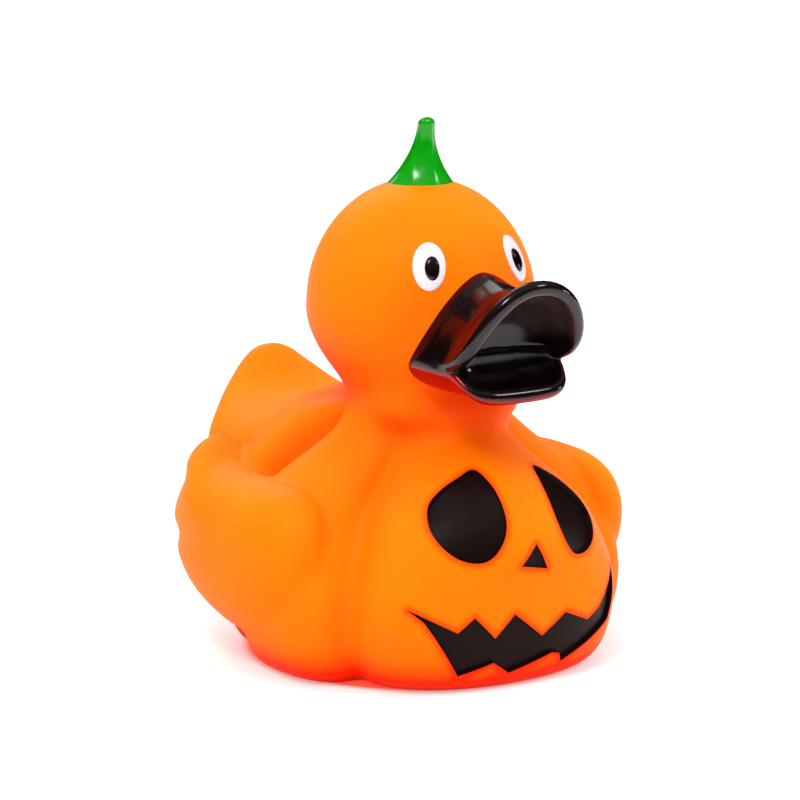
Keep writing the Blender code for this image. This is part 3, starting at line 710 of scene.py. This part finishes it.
def uprightDrum(name, radius, low, high, sides=96):
    return skinOver(name, [[(radius * math.cos(turn), radius * math.sin(turn), z)
                            for turn in turnsRound(sides)] for z in (low, high)])


bodyForms = [trunk, foldedWing("wing", -1, wingForm), foldedWing("wing", 1, wingForm),
             upturnedTail("tail", tailForm)]
orangeSkin = fuseForms("orangeSkin", bodyForms, bodyForm["grain"] * mm, bodyForm["passes"])
orangeSkin.data.materials.clear()
orangeSkin.data.materials.append(vinylCoat)
chest = surfaceOf(trunk)
print("orange skin fused", len(orangeSkin.data.polygons))


# Carved pumpkin face

carvedFace = {   # seen from the front, across and height in millimetres
    "eye": ((6.4, 38.7), (9.5, 37.4), (12.8, 35.4), (15.8, 32.6), (17.1, 29.6), (16.6, 27.0),
            (14.6, 24.8), (11.8, 23.9), (9.2, 24.4), (7.0, 26.8), (5.5, 30.2), (5.1, 33.6),
            (5.3, 36.8)),
    "nose": ((-0.1, 27.0), (-1.5, 25.2), (-2.9, 23.2), (-0.2, 22.7), (2.7, 22.1),
             (1.3, 24.6)),
    "topLip": ((-22.5, 16.4), (-14.7, 12.0), (-11.7, 14.6), (-7.5, 10.3), (-3.8, 14.4),
               (2.6, 9.4), (7.6, 13.1), (13.6, 10.5), (16.7, 12.1), (22.8, 18.6)),
    "lowLip": ((-22.5, 16.4), (-20.2, 14.2), (-13.6, 3.6), (-7.2, 5.6), (-3.6, 3.1),
               (5.5, 5.7), (7.3, 5.2), (8.0, 3.5), (13.8, 5.8), (20.8, 8.8), (22.0, 12.1),
               (22.8, 18.6)),
    "tilt": 3.0, "middle": 26.0,
    "eyeDepth": 1.5, "noseDepth": 0.8, "mouthDepth": 0.8, "margin": 1.5, "bowl": 0.4,
    "shrink": 0.8, "grinStep": 0.7, "grinTuck": 0.1, "grinLevels": 7,
}
drums = {"ground": (100.0, -10.0, 0.0), "vent": (4.0, -5.0, 6.0)}   # radius, foot and top


def tiltedOutline(points, face):
    turn, middle = math.radians(face["tilt"]), face["middle"]
    return [((a * math.cos(turn) + (h - middle) * math.sin(turn)) * mm,
             (middle - a * math.sin(turn) + (h - middle) * math.cos(turn)) * mm)
            for a, h in points]


def carvedShape(name, tree, outline, depth, face, rings=8):
    count = len(outline)
    middle = [sum(p[k] for p in outline) / count for k in (0, 1)]
    bm = bmesh.new()

    def row(share, lift):
        verts = []
        for across, height in outline:
            point, normal = metFromFront(tree, middle[0] + (across - middle[0]) * share,
                                         middle[1] + (height - middle[1]) * share)
            verts.append(bm.verts.new(point + normal * lift))
        return verts

    bowl, margin = face["bowl"], face["margin"] * mm
    shares = [1.0 - face["shrink"] * k / rings for k in range(rings + 1)]
    outer = [row(share, margin) for share in (shares[rings // 2], shares[0])]
    inner = [row(s, -depth * (1.0 - bowl + bowl * (1.0 - s**2))) for s in shares]
    for one, two in [outer, (outer[1], inner[0])] + list(zip(inner, inner[1:])):
        for i in range(count):
            j = (i + 1) % count
            bm.faces.new((one[i], one[j], two[j], two[i]))
    bm.faces.new(outer[0])
    bm.faces.new(inner[-1])
    return meshObject(name, bm)


def edgeHeight(points, across):
    for (x0, z0), (x1, z1) in zip(points, points[1:]):
        if x0 <= across <= x1:
            return z0 + (z1 - z0) * (across - x0) / (x1 - x0)
    return points[-1][1]


def carvedGrin(name, tree, face):
    top = [(a * mm, h * mm) for a, h in face["topLip"]]
    low = [(a * mm, h * mm) for a, h in face["lowLip"]]
    corners = sorted({p[0] for p in top + low})
    places = []
    for a, b in zip(corners, corners[1:]):
        parts = max(1, round((b - a) / (face["grinStep"] * mm)))
        places += [a + (b - a) * k / parts for k in range(parts)]
    places.append(corners[-1])
    places[0] += face["grinTuck"] * mm
    places[-1] -= face["grinTuck"] * mm
    levels = face["grinLevels"]
    bm = bmesh.new()
    outer, inner = [], []
    for x in places:
        bottom, height = edgeHeight(low, x), edgeHeight(top, x) - edgeHeight(low, x)
        hits = [metFromFront(tree, x, bottom + height * k / levels)
                for k in range(levels + 1)]
        outer.append([bm.verts.new(p + n * face["margin"] * mm) for p, n in hits])
        inner.append([bm.verts.new(p - n * face["mouthDepth"] * mm) for p, n in hits])
    last = len(places) - 1
    for grid in (outer, inner):
        for c in range(last):
            for r in range(levels):
                bm.faces.new((grid[c][r], grid[c + 1][r], grid[c + 1][r + 1],
                              grid[c][r + 1]))
    rim = [(c, 0) for c in range(last + 1)] + [(last, r) for r in range(1, levels)]
    rim += [(c, levels) for c in range(last, -1, -1)]
    rim += [(0, r) for r in range(levels - 1, 0, -1)]
    for (c0, r0), (c1, r1) in zip(rim, rim[1:] + rim[:1]):
        bm.faces.new((outer[c0][r0], outer[c1][r1], inner[c1][r1], inner[c0][r0]))
    return meshObject(name, bm)


carvings = []
for side in (-1, 1):
    eyeOutline = curveThrough(
        tiltedOutline([(side * a, h) for a, h in carvedFace["eye"]], carvedFace), 8, closed=True)
    carvings.append(carvedShape("carvedEye", chest, eyeOutline, carvedFace["eyeDepth"] * mm,
                                carvedFace))
noseOutline = curveThrough([(a * mm, h * mm) for a, h in carvedFace["nose"]], 1, closed=True)
carvings.append(carvedShape("carvedNose", chest, noseOutline, carvedFace["noseDepth"] * mm,
                            carvedFace, rings=4))
carvings.append(carvedGrin("carvedGrin", chest, carvedFace))
for cutter in carvings:
    cutter.data.materials.append(carvedCoat)
cutters = [uprightDrum(word, *(size * mm for size in sizes)) for word, sizes in drums.items()]
cutters += carvings
for cutter in cutters:
    cutAway(orangeSkin, cutter)
orangeSkin = settled(orangeSkin, "orangeSkin")
print("face carved", len(orangeSkin.data.polygons))


# Open bill

billForm = {
    "halfWidth": 12.7, "lipHalfWidth": 12.9, "reach": 41.8, "rootTop": 73.4, "lipTop": 74.2,
    "saddleTop": 71.6, "mouthLine": 58.2, "lipThickness": 2.4, "throatDepth": 2.0,
    "rootPeak": 1.2, "lipPeak": 0.92, "lipCurl": 1.4, "lipDrawnBack": 0.4,
    "jawBottom": 51.3, "jawHalfWidth": 13.7, "jawReach": 36.6, "jawLipStart": 30.0,
    "jawLipFall": 5.6, "jawRound": 3.1, "jawWidening": (0.92, 0.08),
    "jawThinning": (0.35, 0.65), "jawEdge": 0.15, "jawRings": 40, "rootSunk": 13.0,
    "dishRim": 59.6, "dishFloor": 53.2, "dishHalfWidth": 10.3, "dishHalfLength": 7.4,
    "dishForward": 34.2, "dishCorner": 1.5, "dishBowl": 3.0, "dishRings": 24, "dishLid": 2.0,
    "throat": (   # share of the width, drop of the roof, how far forward at foot and roof
        (0.30, 8.6, 0.0, 0.1), (0.58, 5.2, 0.3, 1.0), (0.80, 2.6, 0.9, 2.6),
        (0.93, 1.0, 2.0, 5.0)),
    "root": 24.2,     # how far forward the head's front lies
    "around": 96, "archSteps": 80, "steps": 12, "roofSteps": 10, "roofLift": 1.6,
    "footLift": 0.6, "footRows": slice(14, -4, 3), "lipStations": 40, "lipRounds": 6,
    "archRise": 0.2, "grain": 0.3, "passes": 20,
}


def billRows(form):
    # Half width, top, foot, how far forward at the foot and at the top, and how peaked.
    root, foot, reach = form["root"], form["mouthLine"], form["reach"]
    wide, lipWide = form["halfWidth"], form["lipHalfWidth"]
    peak, lipPeak = form["rootPeak"], form["lipPeak"]
    saddle = form["saddleTop"]
    return (
        (0.96 * wide, form["rootTop"] - 1.0, foot, root - form["rootSunk"],
         root - form["rootSunk"], peak),
        (wide, form["rootTop"], foot - 0.4, root - 5.7, root - 1.7, peak),
        (wide, 0.5 * (saddle + form["rootTop"]), foot - 0.5, root - 1.2, root + 2.8, peak),
        (0.98 * wide, saddle, foot - 0.5, reach - 14.0, reach - 9.5, 0.5 * (peak + lipPeak)),
        (0.5 * (wide + lipWide), 0.75 * saddle + 0.25 * form["lipTop"], foot + 0.1,
         reach - 11.0, reach - 5.0, lipPeak),
        (lipWide, form["lipTop"], foot + 1.0, reach - 7.9, reach - 1.2, lipPeak),
    )


def archRing(form, row, count, inset=0.0):
    halfWidth, top, foot, footReach, topReach, peak = row
    ring = []
    for k in range(count + 1):
        turn = math.pi * k / count
        rise = max(math.sin(turn), 0.0)
        side = math.copysign(abs(math.cos(turn)) ** peak, math.cos(turn))
        reach = footReach + (topReach - footReach) * (1.0 - (1.0 - rise) ** form["lipCurl"])
        ring.append(Vector(((inset - halfWidth) * side, -reach,
                            foot + (top - inset - foot)
                            * rise ** (peak + form["archRise"]))) * mm)
    return ring


def upperBill(name, form):
    return skinOver(name, [archRing(form, row, form["archSteps"])
                           for row in curveThrough(billRows(form), form["steps"])])


def mouthRoof(name, form):
    throat = form["root"] + form["throatDepth"]
    rim = form["dishRim"]
    rows = [(wide, top, rim, footReach, topReach, peak)
            for wide, top, _, footReach, topReach, peak in billRows(form)[4:]]
    wide, top, _, _, _, peak = rows[0]
    rows = [(share * wide, top - drop, rim, throat + low, throat + high, peak)
            for share, drop, low, high in form["throat"]] + rows
    wide, top, _, footReach, topReach, peak = rows[-1]
    rows.append((wide, top + form["roofLift"], rim, footReach + 10.0, topReach + 10.0, peak))
    return skinOver(name, [archRing(form, row, form["archSteps"], form["lipThickness"])
                           for row in curveThrough(rows, form["roofSteps"])])


def dishHollow(name, form):
    depth, bowl = form["dishRim"] - form["dishFloor"], form["dishBowl"]
    corner = 1.0 / form["dishCorner"]
    rings = []
    for k in range(1, form["dishRings"] + 1):
        share = math.sin(0.5 * math.pi * k / form["dishRings"])
        ring = []
        for turn in turnsRound(form["around"]):
            c, s = math.cos(turn), math.sin(turn)
            x = form["dishHalfWidth"] * share * math.copysign(abs(c) ** corner, c)
            y = form["dishHalfLength"] * share * math.copysign(abs(s) ** corner, s)
            drop = depth * (1.0 - share**bowl) ** (1.0 / bowl)
            ring.append(Vector((x, y - form["dishForward"], form["dishRim"] - drop)) * mm)
        rings.append(ring)
    rings.append([p + Vector((0.0, 0.0, form["dishLid"] * mm)) for p in rings[-1]])
    return skinOver(name, rings,
                    startPoint=Vector((0.0, -form["dishForward"], form["dishFloor"])) * mm)


def jawStation(form, turn, share):
    # How far forward a station of the jaw lies, its width, and how far it is down the lip.
    start = form["root"] - form["rootSunk"]
    reach = start + (form["jawReach"] - start) * math.sin(turn)
    narrow = (1.0 - share**form["jawRound"]) ** 0.5
    first, more = form["jawWidening"]
    wide = form["jawHalfWidth"] * narrow * (first + more * share)
    forward = max(reach - form["jawLipStart"], 0.0)
    return reach, narrow, wide, forward / (form["jawReach"] - form["jawLipStart"])


def lowerBill(name, form):
    rings = []
    thin, thick = form["jawThinning"]
    for k in range(form["jawRings"]):
        share = k / form["jawRings"]
        reach, narrow, wide, forward = jawStation(form, math.radians(90.0 * share), share)
        top = form["mouthLine"] + 0.5 - form["jawLipFall"] * forward
        middle = top - form["jawEdge"] * (top - form["jawBottom"])
        ring = []
        for spin in turnsRound(form["around"]):
            rise = math.sin(spin)
            half = top - middle if rise > 0.0 else middle - form["jawBottom"]
            ring.append(Vector((wide * math.cos(spin), -reach,
                                middle + half * (thin + thick * narrow) * rise)) * mm)
        rings.append(ring)
    tip = 0.5 * (form["mouthLine"] - form["jawLipFall"] + form["jawBottom"])
    return skinOver(name, rings, endPoint=Vector((0.0, -form["jawReach"], tip)) * mm)


lipRoll = {"Lip Radius": 1.45 * mm, "Corner Radius": 0.85 * mm, "Thin From": 0.22,
           "Thin To": 0.48, "Sides": 20}
rimRoll = {**lipRoll, "Corner Radius": 0.75 * mm}
rimForm = {"from": 52.0, "over": 38.0, "stations": 21, "inset": 0.9, "drop": 0.3, "back": 1.5,
           "lift": 0.35, "rounds": 2}


def softenedPath(points, rounds):
    for _ in range(rounds):
        inner = [(a + b + c) / 3.0 for a, b, c in zip(points, points[1:], points[2:])]
        points = [points[0]] + inner + [points[-1]]
    return points


def lipPath(form):
    # Runs along the near foot, up over the front arch and back along the far foot.
    rows = curveThrough(billRows(form), form["steps"])
    inset = 0.5 * form["lipThickness"]
    foot = [archRing(form, row, 2, inset)[0] for row in rows[form["footRows"]]]
    drawnBack = Vector((0.0, form["lipDrawnBack"] * mm, 0.0))
    arch = archRing(form, rows[-1], form["lipStations"], inset)[2:-2]
    front = [p + drawnBack for p in arch]
    lift = form["footLift"] * mm
    points = [p + Vector((0.0, 0.0, lift)) for p in foot] + front
    points += [Vector((-p.x, p.y, p.z + lift)) for p in reversed(foot)]
    return softenedPath(points, form["lipRounds"])


def jawRimPath(form, rim):
    # Runs along the lower bill's edge, from one corner of the mouth round to the other.
    near = []
    for k in range(rim["stations"]):
        turn = math.radians(rim["from"] + rim["over"] * k / (rim["stations"] - 0.5))
        reach, narrow, wide, forward = jawStation(form, turn, turn / math.radians(90.0))
        top = form["mouthLine"] - rim["drop"] - (form["jawLipFall"] - rim["drop"]) * forward
        near.append(Vector((rim["inset"] * narrow - wide, rim["back"] * forward - reach,
                            top + rim["lift"] * forward)) * mm)
    far = [Vector((-p.x, p.y, p.z)) for p in reversed(near)]
    return softenedPath(near + far, rim["rounds"])


def lipTree():
    # A round bead along the bill's edge, thinner towards the corners of the mouth.
    tree, source, sink = nodeTree("rolledLip", lipRoll)
    line = tree.nodes.new("GeometryNodeMeshToCurve")
    tree.links.new(source.outputs["Geometry"], line.inputs[0])
    along = tree.nodes.new("GeometryNodeSplineParameter")
    less, size = mathKit(tree, "SUBTRACT", "ABSOLUTE")
    middle = size(less(along.outputs["Factor"], 0.5))
    radius = smoothRange(tree, middle, *(source.outputs[label] for label in (
        "Thin From", "Thin To", "Lip Radius", "Corner Radius")))
    ring = tree.nodes.new("GeometryNodeCurvePrimitiveCircle")
    tree.links.new(source.outputs["Sides"], ring.inputs["Resolution"])
    ring.inputs["Radius"].default_value = 1.0
    sweep = tree.nodes.new("GeometryNodeCurveToMesh")
    sweep.inputs["Fill Caps"].default_value = True
    tree.links.new(line.outputs[0], sweep.inputs["Curve"])
    tree.links.new(ring.outputs[0], sweep.inputs["Profile Curve"])
    tree.links.new(radius, sweep.inputs["Scale"])
    endTree(tree, sweep.outputs[0], source, sink)
    return tree


def lineObject(name, points):
    mesh = bpy.data.meshes.new(name)
    mesh.from_pydata(points, [(i, i + 1) for i in range(len(points) - 1)], [])
    return newItem(name, mesh)


upper, lower = upperBill("upperBill", billForm), lowerBill("lowerBill", billForm)
mouthCutters = [mouthRoof("mouthRoof", billForm), dishHollow("dishHollow", billForm)]
for shell in (upper, lower):
    for cutter in mouthCutters:
        cutAway(shell, cutter)
upper, lower = settled(upper, "upperBill"), settled(lower, "lowerBill")
lip = applyTree(lineObject("rolledLip", lipPath(billForm)), lipTree(), lipRoll, billCoat)
rim = applyTree(lineObject("rolledRim", jawRimPath(billForm, rimForm)), lipTree(), rimRoll,
                billCoat)
openBill = fuseForms("openBill", [upper, lower, lip, rim], billForm["grain"] * mm,
                     billForm["passes"])
print("bill fused", len(openBill.data.polygons))


# Pumpkin stem

stemForm = {
    "Foot Radius": 7.2 * mm, "Tip Radius": 1.5 * mm, "Foot Height": 86.2 * mm,
    "Height": 13.4 * mm, "Foot Forward": 2.6 * mm, "Lean": 2.3 * mm, "Flare": 2.35,
    "Ribs": 5.0, "Rib Depth": 0.07, "Rib Start": 0.05, "Rib Full": 0.5, "Round Tip": 0.90,
}
stemMesh = {"Vertices": 120, "Side Segments": 90, "Radius": 1.0, "Depth": 1.0}


def stemTree():
    # A drum drawn up into a flared stem, with ribs that repeat round it.
    tree, source, sink = nodeTree("ribbedStem", stemForm)
    sizes = source.outputs
    drum = tree.nodes.new("GeometryNodeMeshCylinder")
    for label, value in stemMesh.items():
        drum.inputs[label].default_value = value
    add, less, times, power, highest, cosine = mathKit(
        tree, "ADD", "SUBTRACT", "MULTIPLY", "POWER", "MAXIMUM", "COSINE")
    x, y, z = positionParts(tree)
    share = add(z, 0.5)
    turn = mathNode(tree, "ARCTAN2", x, times(y, -1.0))
    flare = power(less(1.0, share), sizes["Flare"])
    spread = less(sizes["Foot Radius"], sizes["Tip Radius"])
    radius = add(sizes["Tip Radius"], times(spread, flare))
    over = mathNode(tree, "DIVIDE", highest(less(share, sizes["Round Tip"]), 0.0),
                    less(1.0, sizes["Round Tip"]))
    dome = mathNode(tree, "SQRT", highest(less(1.0, power(over, 2.0)), 0.0004))
    fade = smoothRange(tree, share, sizes["Rib Start"], sizes["Rib Full"], 0.0, 1.0)
    ribs = times(cosine(times(turn, sizes["Ribs"])), fade)
    ribs = add(1.0, times(ribs, sizes["Rib Depth"]))
    inside = lengthNode(tree, joinXyz(tree, x, y, 0.0))
    radius = times(times(times(radius, dome), ribs), inside)
    forward = add(sizes["Foot Forward"], times(sizes["Lean"], share))
    newX = times(radius, mathNode(tree, "SINE", turn))
    newY = add(forward, times(radius, cosine(turn)))
    newZ = add(sizes["Foot Height"], times(share, sizes["Height"]))
    move = tree.nodes.new("GeometryNodeSetPosition")
    tree.links.new(drum.outputs["Mesh"], move.inputs["Geometry"])
    tree.links.new(joinXyz(tree, newX, times(newY, -1.0), newZ), move.inputs["Position"])
    endTree(tree, move.outputs[0], source, sink)
    return tree


stem = newItem("stem", bpy.data.meshes.new("stem"))
stem = applyTree(stem, stemTree(), stemForm, stemCoat)
print("stem made", len(stem.data.polygons))


# Duck eyes, raised on the head

duckEye = {
    "across": 9.4, "height": 74.9, "sunk": 0.8, "around": 80, "edge": 6.0, "tuck": 0.1,
    "white": {"halfWidth": 3.0, "halfHeight": 4.5, "relief": 0.35},
    "pupil": {"halfWidth": 1.38, "halfHeight": 2.30, "relief": 0.8, "inward": 0.35,
              "drop": 0.45},
}


def raisedOval(name, tree, side, eye, part):
    across = eye["across"] - part.get("inward", 0.0)
    height = eye["height"] - part.get("drop", 0.0)
    point, normal = metFromFront(tree, side * across * mm, height * mm)
    sideways = Vector((0.0, 0.0, 1.0)).cross(normal).normalized()
    up = normal.cross(sideways).normalized()
    rings = []
    shares = [0.12 * k for k in range(1, 8)] + [0.90, 0.95, 0.98, 1.0]
    for share in reversed(shares):
        ring = []
        for spin in turnsRound(eye["around"]):
            away = (sideways * part["halfWidth"] * math.cos(spin)
                    + up * part["halfHeight"] * math.sin(spin)) * share * mm
            met, _, _, _ = tree.ray_cast(point + away + normal * 5.0 * mm, -normal)
            lift = part["relief"] * (1.0 - share**eye["edge"]) ** 0.5
            lift -= eye["tuck"] if share == 1.0 else 0.0
            ring.append(met + normal * (lift * mm))
        rings.append(ring)
    skirt = [p - normal * (eye["sunk"] * mm) for p in rings[0]]
    return skinOver(name, [skirt] + rings, endPoint=point + normal * (part["relief"] * mm))


whites, pupils = [], []
for side, word in ((-1, "Right"), (1, "Left")):
    whites.append(raisedOval("eyeWhite" + word, chest, side, duckEye, duckEye["white"]))
    pupils.append(raisedOval("pupil" + word, chest, side, duckEye, duckEye["pupil"]))
print("eyes made")

for helper in bodyForms + cutters + [upper, lower, lip, rim] + mouthCutters:
    bpy.data.objects.remove(helper, do_unlink=True)


# Painted shade on the body and the bill, kept on the vertices: how hollow, upright or near the
# carved face each point of the body is, the jaw's underside as bare vinyl in deep shade, and a
# painted reflection on the mouth's roof

# Settings for the painted shade on the orange body.
hollowLook = {"grain": 1.8 * mm, "rays": 48, "reach": 60.0 * mm, "floorReach": 11.0 * mm,
              "rimReach": 1.3 * mm, "rimShade": 0.34, "lift": 0.5 * mm, "blend": 0.3 * mm,
              "skyShare": 0.65, "uprightShade": 0.12, "rounds": 3}
bareShadeEdge = {"sideways": (0.45, 0.75), "forward": (34.5 * mm, 32.5 * mm),
            "downward": (0.05, 0.45), "height": (57.4 * mm, 56.8 * mm), "rounds": 2}
roofReflectionEdge = {"downward": (0.05, 0.35), "forward": (26.5 * mm, 28.0 * mm),
            "height": (61.5 * mm, 64.5 * mm), "rounds": 12}


def cosineRays(count):
    rays = []
    for i in range(count):
        radius = math.sqrt((i + 0.5) / count)
        turn = i * math.pi * (3.0 - math.sqrt(5.0))
        rays.append(Vector((radius * math.cos(turn), radius * math.sin(turn),
                            math.sqrt(max(1.0 - radius * radius, 0.0)))))
    return rays


def evenedOut(item, values, rounds):
    for _ in range(rounds):
        sums, counts = list(values), [1] * len(values)
        for edge in item.data.edges:
            a, b = edge.vertices
            sums[a] += values[b]
            sums[b] += values[a]
            counts[a] += 1
            counts[b] += 1
        values = [total / count for total, count in zip(sums, counts)]
    return values


def hollowField(items, look):
    coarse = fuseForms("hollowField", items, look["grain"], look["rounds"])
    tree = surfaceOf(coarse)
    rays = cosineRays(look["rays"])
    up = Vector((0.0, 0.0, 1.0))
    # Painted shade: each point is tinted by how many rays the body or the near floor stop, less
    # on faces that look up and more on upright and downward ones.
    values = []
    for vertex in coarse.data.vertices:
        turn = up.rotation_difference(vertex.normal)
        start = vertex.co + vertex.normal * look["lift"]
        total = 0.0
        for ray in rays:
            aim = turn @ ray
            hit = tree.ray_cast(start, aim, look["reach"])
            if hit[0] is not None:
                total += 1.0 - 0.5 * hit[3] / look["reach"]
            elif aim.z < -0.01:
                total += max(1.0 - max(start.z, 0.0) / -aim.z / look["floorReach"], 0.0)
        upward = max(vertex.normal.z, 0.0)
        values.append(total / len(rays) * (1.0 - look["skyShare"] * upward)
                      + look["uprightShade"] * (1.0 - upward))
    values = evenedOut(coarse, values, look["rounds"])
    places = pointTree([vertex.co for vertex in coarse.data.vertices])
    bpy.data.objects.remove(coarse, do_unlink=True)
    return places, values


def keepAttribute(item, name, values):
    item.data.attributes.new(name, "FLOAT", "POINT").data.foreach_set("value", values)


def markPaintedShade(item, field, look):
    places, values = field
    carved = {v for face in item.data.polygons if face.material_index > 0
              for v in face.vertices}
    rims = pointTree([item.data.vertices[i].co for i in carved])
    result = []
    for vertex in item.data.vertices:
        near = places.find_n(vertex.co, 4)
        weights = [1.0 / (away + look["blend"]) for _, _, away in near]
        value = sum(values[i] * w for (_, i, _), w in zip(near, weights)) / sum(weights)
        # Painted shade: the orange round the carved recesses is tinted as if shaded.
        away = rims.find(vertex.co)[2]
        result.append(value + look["rimShade"] * max(1.0 - away / look["rimReach"], 0.0))
    keepAttribute(item, "hollow", result)


markPaintedShade(orangeSkin, hollowField([orangeSkin, openBill], hollowLook), hollowLook)


def ramp(value, low, high):
    return min(max((value - low) / (high - low), 0.0), 1.0)


def bareShadeShare(place, normal, edge):
    # The jaw's outside and underside, below the lip, where the paint stops; there the colour is
    # the bare vinyl painted dark red, as in deep shade.
    side = ramp(normal.x * math.copysign(1.0, place.x), *edge["sideways"])
    side *= ramp(-place.y, *edge["forward"])
    return max(side, ramp(-normal.z, *edge["downward"])) * ramp(place.z, *edge["height"])


def roofReflectionShare(place, normal, edge):
    # The roof of the mouth, where a broad brownish-grey reflection is painted into the colour.
    inside = ramp(-normal.z, *edge["downward"]) * ramp(-place.y, *edge["forward"])
    return inside * ramp(place.z, *edge["height"])


for word, shareOf, edge in (("bareInShade", bareShadeShare, bareShadeEdge), ("roofReflection", roofReflectionShare, roofReflectionEdge)):
    shares = [shareOf(vertex.co, vertex.normal, edge) for vertex in openBill.data.vertices]
    keepAttribute(openBill, word, evenedOut(openBill, shares, edge["rounds"]))
print("hollows marked")

standPiece(orangeSkin, None, 40.0)
standPiece(openBill, billCoat)
standPiece(stem, stemCoat)
for white in whites:
    standPiece(white, eyeCoat)
for pupil in pupils:
    standPiece(pupil, pupilCoat)


# Floor, world and lights

studio = {
    "floorSize": 3.0,
    "floorColour": (0.93, 0.92, 0.92), "glowPlain": (1.0, 1.0, 1.0),
    "nearEdge": (1.00, 1.07), "wideEdge": (1.02, 1.45),   # shares of the foot's reach
    "floorLift": 0.30, "contactLift": 0.60,
    "footMiddle": (0.0, -7.9 * mm, 0.0), "footReach": (31.0 * mm, 31.6 * mm, 1.0),
    "glowWide": (1.0, 0.86, 0.84), "glowNear": (1.0, 0.10, 0.06),
    "roomLow": (0.70, 0.69, 0.69),       # soft light from the horizon
    "roomHigh": (1.14, 1.14, 1.15),      # and from overhead
    "glossLow": (0.015, 0.012, 0.012),   # the same room as glossy paint mirrors it
    "glossHigh": (0.40, 0.35, 0.355),
    "roomRange": (0.0, 0.8), "glossRange": (0.45, 0.90), "backdrop": (1.0, 1.0, 1.0),
    "lamps": (   # name, place, aims at, size, watts
        ("keyLamp", (-0.50, -0.35, 0.85), (0.0, 0.0, 0.04), 0.22, 2.6),
        ("fillLamp", (0.55, -0.60, 0.70), (0.0, 0.0, 0.04), 0.16, 1.2),
        ("backLamp", (0.15, 0.70, 0.60), (0.0, 0.0, 0.05), 0.50, 1.5),
        ("rightGlint", (1.02, -0.46, 0.20), (0.0, 0.0, 0.06), 0.12, 0.50),
    ),
}


def paleFloor(look):
    half = look["floorSize"]
    bm = bmesh.new()
    corners = [bm.verts.new((x * half, y * half, 0.0))
               for x, y in ((-1, -1), (1, -1), (1, 1), (-1, 1))]
    bm.faces.new(corners)
    floor = meshObject("studioFloor", bm)
    material, tree, shader = newMaterial("paleFloor", {
        "Roughness": 0.9, "Specular IOR Level": 0.1})
    place = tree.nodes.new("ShaderNodeTexCoord")
    fit = tree.nodes.new("ShaderNodeMapping")
    fit.vector_type = "TEXTURE"
    fit.inputs["Location"].default_value = look["footMiddle"]
    fit.inputs["Scale"].default_value = look["footReach"]
    tree.links.new(place.outputs["Object"], fit.inputs["Vector"])
    # Painted light: round the duck's foot the floor's colour turns pink and then red, and its
    # glow for camera rays turns red and stronger, painted as red light thrown back from the
    # body.
    away = lengthNode(tree, fit.outputs["Vector"])
    near = rangeNode(tree, away, *look["nearEdge"], 1.0, 0.0)
    wide = rangeNode(tree, away, *look["wideEdge"], 1.0, 0.0)
    pale = mixColours(tree, wide, look["floorColour"], look["glowWide"])
    tree.links.new(mixColours(tree, near, pale, look["glowNear"]), shader.inputs["Base Color"])
    tree.links.new(mixColours(tree, near, look["glowPlain"], look["glowNear"]),
                   shader.inputs["Emission Color"])
    path = tree.nodes.new("ShaderNodeLightPath")
    lift = rangeNode(tree, near, 0.0, 1.0, look["floorLift"], look["contactLift"])
    tree.links.new(mathNode(tree, "MULTIPLY", path.outputs["Is Camera Ray"], lift),
                   shader.inputs["Emission Strength"])
    floor.data.materials.append(material)


def studioWorld(look):
    world = bpy.data.worlds.new("studioWorld")
    bpy.context.scene.world = world
    world.use_nodes = True
    tree = world.node_tree
    sky = tree.nodes["Background"]
    aim = tree.nodes.new("ShaderNodeTexCoord")
    parts = tree.nodes.new("ShaderNodeSeparateXYZ")
    tree.links.new(aim.outputs["Generated"], parts.inputs[0])
    up = rangeNode(tree, parts.outputs["Z"], *look["roomRange"])
    glossUp = rangeNode(tree, parts.outputs["Z"], *look["glossRange"])
    room = mixColours(tree, up, look["roomLow"], look["roomHigh"])
    gloss = mixColours(tree, glossUp, look["glossLow"], look["glossHigh"])
    path = tree.nodes.new("ShaderNodeLightPath")
    lit = mixColours(tree, path.outputs["Is Glossy Ray"], room, gloss)
    tree.links.new(mixColours(tree, path.outputs["Is Camera Ray"], lit, look["backdrop"]),
                   sky.inputs["Color"])
    sky.inputs["Strength"].default_value = 1.0


def areaLamp(name, place, aim, size, watts):
    data = bpy.data.lights.new(name, "AREA")
    data.size = size
    data.energy = watts
    aimedItem(name, data, place, aim)


paleFloor(studio)
studioWorld(studio)
for lamp in studio["lamps"]:
    areaLamp(*lamp)
bpy.context.scene.view_settings.view_transform = "Standard"
print("studio lit")
